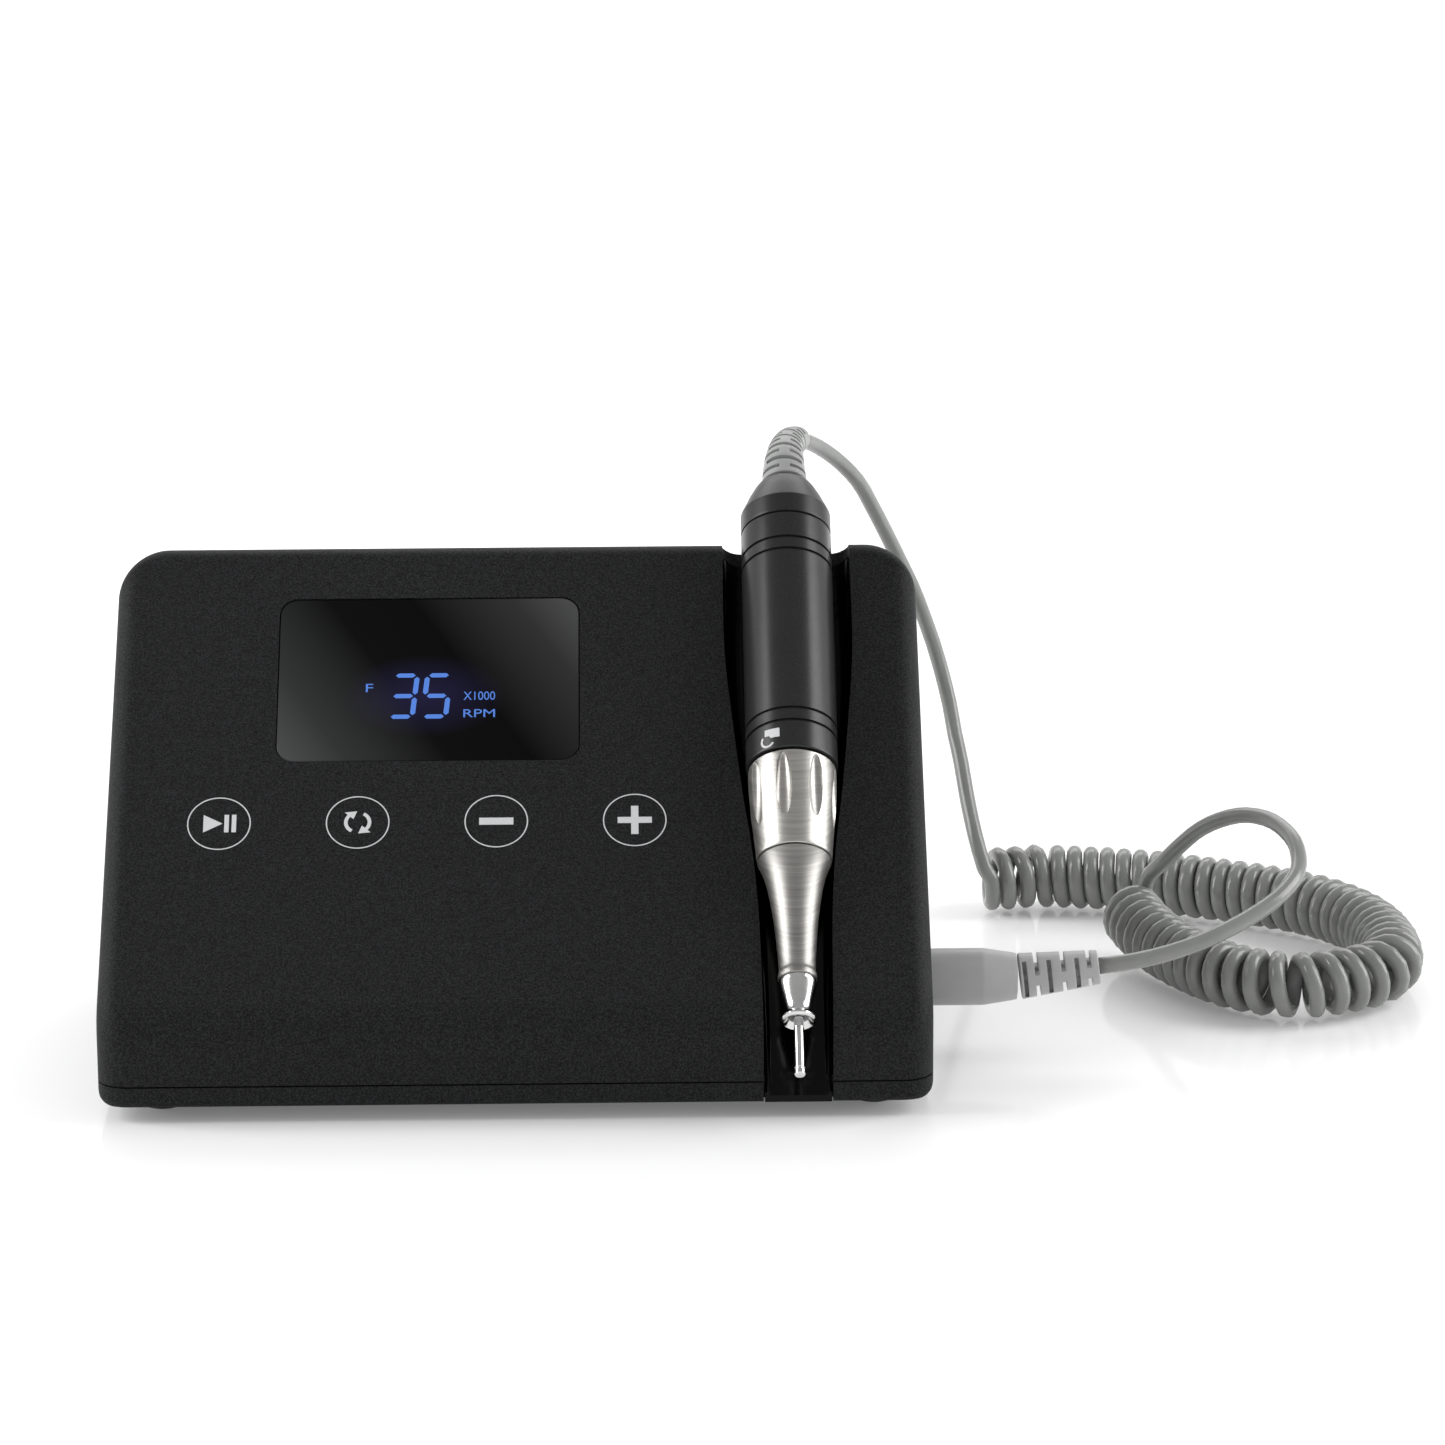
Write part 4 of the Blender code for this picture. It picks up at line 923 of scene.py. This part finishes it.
def end_cap(black):
    stations = [(148.6, 8), (148.6, 10.3), (148.75, 10.6), (149.2, 10.7), (153.7, 10.7), (154.1, 10.55),
                (158, 8.9), (161, 7.4), (162.4, 6.45), (162.85, 5.9), (163, 5.2), (163, 3)]
    pen_piece(turned("end_cone", stations, 128), black, "handpiece", "end_cap", 20)


def lock_mark(ink):
    """Small padlock with an open shackle, printed on the band that the fluted sleeve turns against."""
    steps = 10
    rings = []
    for k in range(steps + 1):
        x = -1.2 + 2.9 * k / steps
        low, high = (-0.35 if k > 3 else 0.15) - 0.05 * x, 1.5 - 0.05 * x
        rings.append([(x * MM, y * MM, z) for y, z in ((low, -0.02 * MM), (high, -0.02 * MM), (high, PRINT),
                                                       (low, PRINT))])
    plate = lofted("lock_body", rings)
    shackle = ink_plate("lock_shackle", [(x - 0.65, y - 0.75) for x, y in arc_band(1.05, 1.45, 140, 330, 30)])
    mark = merged("lock_mark", [plate, shackle])
    for vert in mark.data.vertices:
        across, up, lift = vert.co
        angle = math.radians(-28) + 1.3 * across / BARREL_RADIUS
        radius = BARREL_RADIUS + lift + 0.01 * MM
        vert.co = (radius * math.sin(angle), -radius * math.cos(angle), 85.1 * MM + 1.3 * up)
    settle(mark, PEN)
    dress(mark, ink, "handpiece")


def slotted_relief(name, length, wide, narrow, slots, notches, core=1.95):
    """A tapering strain relief along Z with side slots and crossing notches, round its cord."""
    steps = max(12, round(length))
    stations = [(0, wide - 0.35), (0.25, wide)]
    stations += [(length * k / steps, wide + (narrow - wide) * k / steps) for k in range(1, steps)]
    stations += [(length - 0.2, narrow), (length, narrow - 0.3)]
    body = turned(name, stations, 64)
    for at, crossing in [(s, False) for s in slots] + [(n, True) for n in notches]:
        radius = wide + (narrow - wide) * at / length
        for side in (-1, 1):
            near, far = 1.25 * side, (radius + 2) * side
            if crossing:
                low = (min(near, far), -radius - 2, at - 0.5)
                high = (max(near, far), radius + 2, at + 0.5)
            else:
                low = (-0.82 * radius, min(near, far), at - 0.5)
                high = (0.82 * radius, max(near, far), at + 0.5)
            carve(body, block("slot", Vector(low) * MM, Vector(high) * MM))
    inner = turned("relief_core", [(length * k / steps + (0.3 if k == 0 else -0.3 if k == steps else 0), core)
                                   for k in range(steps + 1)], 32)
    carve(body, inner, "UNION")
    soften(body, 0.15 * MM, 2, 40)
    return body


def bend_along(piece, route):
    """Carries a straight piece along Z over to a curved route."""
    lengths = [0.0]
    for one, two in zip(route, route[1:]):
        lengths.append(lengths[-1] + (two - one).length)
    frames = []
    side = Vector((1, 0, 0))
    for i, point in enumerate(route):
        ahead = (route[min(i + 1, len(route) - 1)] - route[max(i - 1, 0)]).normalized()
        side = (side - ahead * side.dot(ahead)).normalized()
        frames.append((point, side.copy(), ahead.cross(side)))
    for vert in piece.data.vertices:
        along = min(max(vert.co.z, 0), lengths[-1])
        i = min(max(k for k in range(len(lengths)) if lengths[k] <= along), len(route) - 2)
        share = (along - lengths[i]) / (lengths[i + 1] - lengths[i])
        (p, s, c), (q, t, d) = frames[i], frames[i + 1]
        vert.co = p.lerp(q, share) + vert.co.x * s.lerp(t, share) + vert.co.y * c.lerp(d, share)


def boot(grey):
    route = smooth_route([place(*p) for p in BOOT_ROUTE], 1 * MM)
    length = run_length(route) / MM
    pitch = length / 11.5
    slots = [pitch * (2 + 2 * k) for k in range(5)]
    notches = [pitch * (1 + 2 * k) for k in range(5)]
    piece = slotted_relief("boot", length, 5.5, 3.2, slots, notches)
    bend_along(piece, route)
    smooth(piece, 35)
    dress(piece, grey, "handpiece", ["handpiece_boot"])


def plug(grey):
    stations = [(0.5, 4), (0.5, 6.2), (0.7, 6.5), (1.2, 6.65), (12.8, 6.65), (13.6, 6.6), (20.6, 5.5),
                (21.1, 5.35), (21.2, 4.8), (21.2, 3)]
    body = settle(turned("plug_grip", stations, 96), PLUG)
    smooth(body, 30, weighted=True)
    dress(body, grey, "plug", ["plug_body"])
    relief = slotted_relief("plug_strain_relief", 18.5, 5.4, 4.0, (1.2, 6.9, 13.4), (4.0, 10.2, 16.2), 1.95)
    tilt = Matrix.Rotation(math.radians(-6.4), 4, "Y")
    settle(relief, PLUG @ Matrix.Translation((0, 0, 21.9 * MM)) @ tilt)
    smooth(relief, 35)
    dress(relief, grey, "plug", ["plug_relief"])


def bit(polished):
    stations = [(0, 0.8), (0.12, 1.1), (0.35, 1.28), (1.35, 1.28), (1.5, 1.0), (1.85, 1.0), (2.0, 1.17),
                (44, 1.17)]
    pen_piece(turned("shank", stations, 48), polished, "bit", "bit_shank", 30)


# ---------------------------------------------------------------- inner pieces, finishes only

def finish_inner_pieces():
    board = plastic("board_green", (0.01, 0.07, 0.03), (0.02, 0.12, 0.05), 0.4, 900)
    steel = plain_metal("plated_steel", (0.45, 0.45, 0.46), (0.62, 0.62, 0.62), 0.3)
    brass = plain_metal("machined_brass", (0.55, 0.4, 0.18), (0.7, 0.54, 0.27), 0.3)
    dark = plastic("dark_moulding", (0.012, 0.012, 0.013), (0.022, 0.022, 0.023), 0.45)
    copper = plain_metal("copper", (0.55, 0.27, 0.14), (0.72, 0.4, 0.22), 0.35)
    alloy = plain_metal("drawn_aluminium", (0.5, 0.5, 0.51), (0.65, 0.65, 0.66), 0.4)
    sleeve_blue = plastic("capacitor_sleeve", (0.015, 0.02, 0.06), (0.025, 0.035, 0.1), 0.35)
    red = plastic("coupling_rubber", (0.2, 0.03, 0.02), (0.3, 0.05, 0.03), 0.6)
    gloss = gloss_black("switch_black")
    finishes = {
        "display_board": board, "touch_board": board, "main_board": board, "display_module": dark,
        "driver_heatsink": alloy, "filter_capacitor": sleeve_blue, "buzzer": dark, "dc_inlet": dark,
        "switch_housing": gloss, "power_rocker": gloss, "handpiece_socket": gloss, "socket_nut": steel,
        "plug_contacts": brass, "front_bearing": steel, "rear_bearing": steel, "inner_housing": brass,
        "release_slider": brass, "chuck_spring": steel, "motor_can": steel, "motor_cover": dark,
        "collet": steel,
        "spindle": steel, "motor_coupling": red, "motor_rotor": copper,
    }
    for i in range(1, 5):
        finishes[f"touch_electrode_{i}"] = copper
        finishes[f"board_screw_{i}"] = steel
        finishes[f"case_screw_{i}"] = steel
    for node, finish in finishes.items():
        for place_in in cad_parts[node].material_slots:
            place_in.material = finish


def painted_sheen_and_glow(finish):
    """Painted reflection: grey at two opposite corners of the window, dark between, and a faint painted glow
    round the lit digits.
    """
    turned_vector = finish.mapped(rotation=(0, math.radians(45), 0))
    split = finish.nodes.new("ShaderNodeSeparateXYZ")
    finish.links.new(turned_vector, split.inputs[0])
    share = finish.spread(split.outputs["X"], 0, 1, 5 * MM, 82 * MM)
    # Painted reflection of the studio: grey corners with a dark band between them
    stops = [(0.0, (0.085, 0.086, 0.086)), (0.2, (0.03, 0.031, 0.031)), (0.42, (0.003, 0.003, 0.0033)),
             (0.6, (0.002, 0.002, 0.002)), (0.82, (0.028, 0.028, 0.029)), (1.0, (0.085, 0.086, 0.086))]
    finish.colour(finish.ramp(share, stops))
    # Painted glow: the display's light spilling into the glass round the digits
    centre = FACE @ Vector((-22 * MM, 91 * MM, 0))
    painted_glow_ball = finish.nodes.new("ShaderNodeTexGradient")
    painted_glow_ball.gradient_type = "SPHERICAL"
    spot = finish.nodes.new("ShaderNodeMapping")
    spot.vector_type = "TEXTURE"
    spot.inputs["Location"].default_value = centre
    spot.inputs["Scale"].default_value = (19 * MM, 12 * MM, 12 * MM)
    finish.links.new(finish.where.outputs["Object"], spot.inputs["Vector"])
    finish.links.new(spot.outputs["Vector"], painted_glow_ball.inputs["Vector"])
    glow = finish.ramp(painted_glow_ball.outputs["Fac"], [(0.0, (0, 0, 0)), (1.0, (0.012, 0.01, 0.04))])
    finish.links.new(glow, finish.shader.inputs["Emission Color"])
    finish.shader.inputs["Emission Strength"].default_value = 1.0


def display_glass():
    glass = Finish("smoked_window", (0.01, 0.01, 0.011), 0.07, 0.0, **{"Specular IOR Level": 0.07})
    painted_sheen_and_glow(glass)
    glass.roughness(glass.spread(glass.noise(glass.mapped(), 40, 3), 0.05, 0.11))
    return glass.material


case_black = textured_black("case_black")
cradle_black = gloss_black("cradle_black")
upper_case(case_black)
lower_case(case_black)
cradle(cradle_black)
display(display_glass(), printing("display_light", (0.05, 0.14, 0.46), 0.6))
key_ink = printing("key_ink", (0.62, 0.63, 0.64))
keys(key_ink)
feet(plastic("foot_rubber", (0.015, 0.015, 0.015), (0.03, 0.03, 0.03), 0.75))
polished = plain_metal("polished_steel", (0.6, 0.6, 0.6), (0.72, 0.72, 0.71), 0.12, 200)
satin = turned_metal("turned_steel", (0.24, 0.235, 0.225), (0.4, 0.39, 0.37), 0.42, 1500, 0.00002, 0.0)
nose(polished)
sleeve(satin)
fluted_sleeve(turned_metal("fluted_steel", (0.38, 0.37, 0.35), (0.56, 0.55, 0.52), 0.36, 1500, 0.00002, 0.0))
pen_black = anodised("barrel_black")
barrel(pen_black)
end_cap(anodised("cap_black", 0.9, 0.36))
lock_mark(key_ink)
bit(polished)
grey_moulding = soft_grey("relief_grey", (0.26, 0.265, 0.26), (0.31, 0.315, 0.31), 0.42)
boot(grey_moulding)
# The plug's grey is the boot's moulding grey painted lighter: painted light making up for the light the plug
# lacks
plug(soft_grey("plug_grey_painted_lighter", (0.36, 0.362, 0.36), (0.42, 0.422, 0.42), 0.42))
finish_inner_pieces()


set_camera()
studio()
CORD_GREY = soft_grey("cord_vinyl", (0.19, 0.196, 0.188), (0.23, 0.237, 0.227), 0.22)
CORD, CORD_PATH, TAIL, TAIL_PATH = make_cords(CORD_GREY)
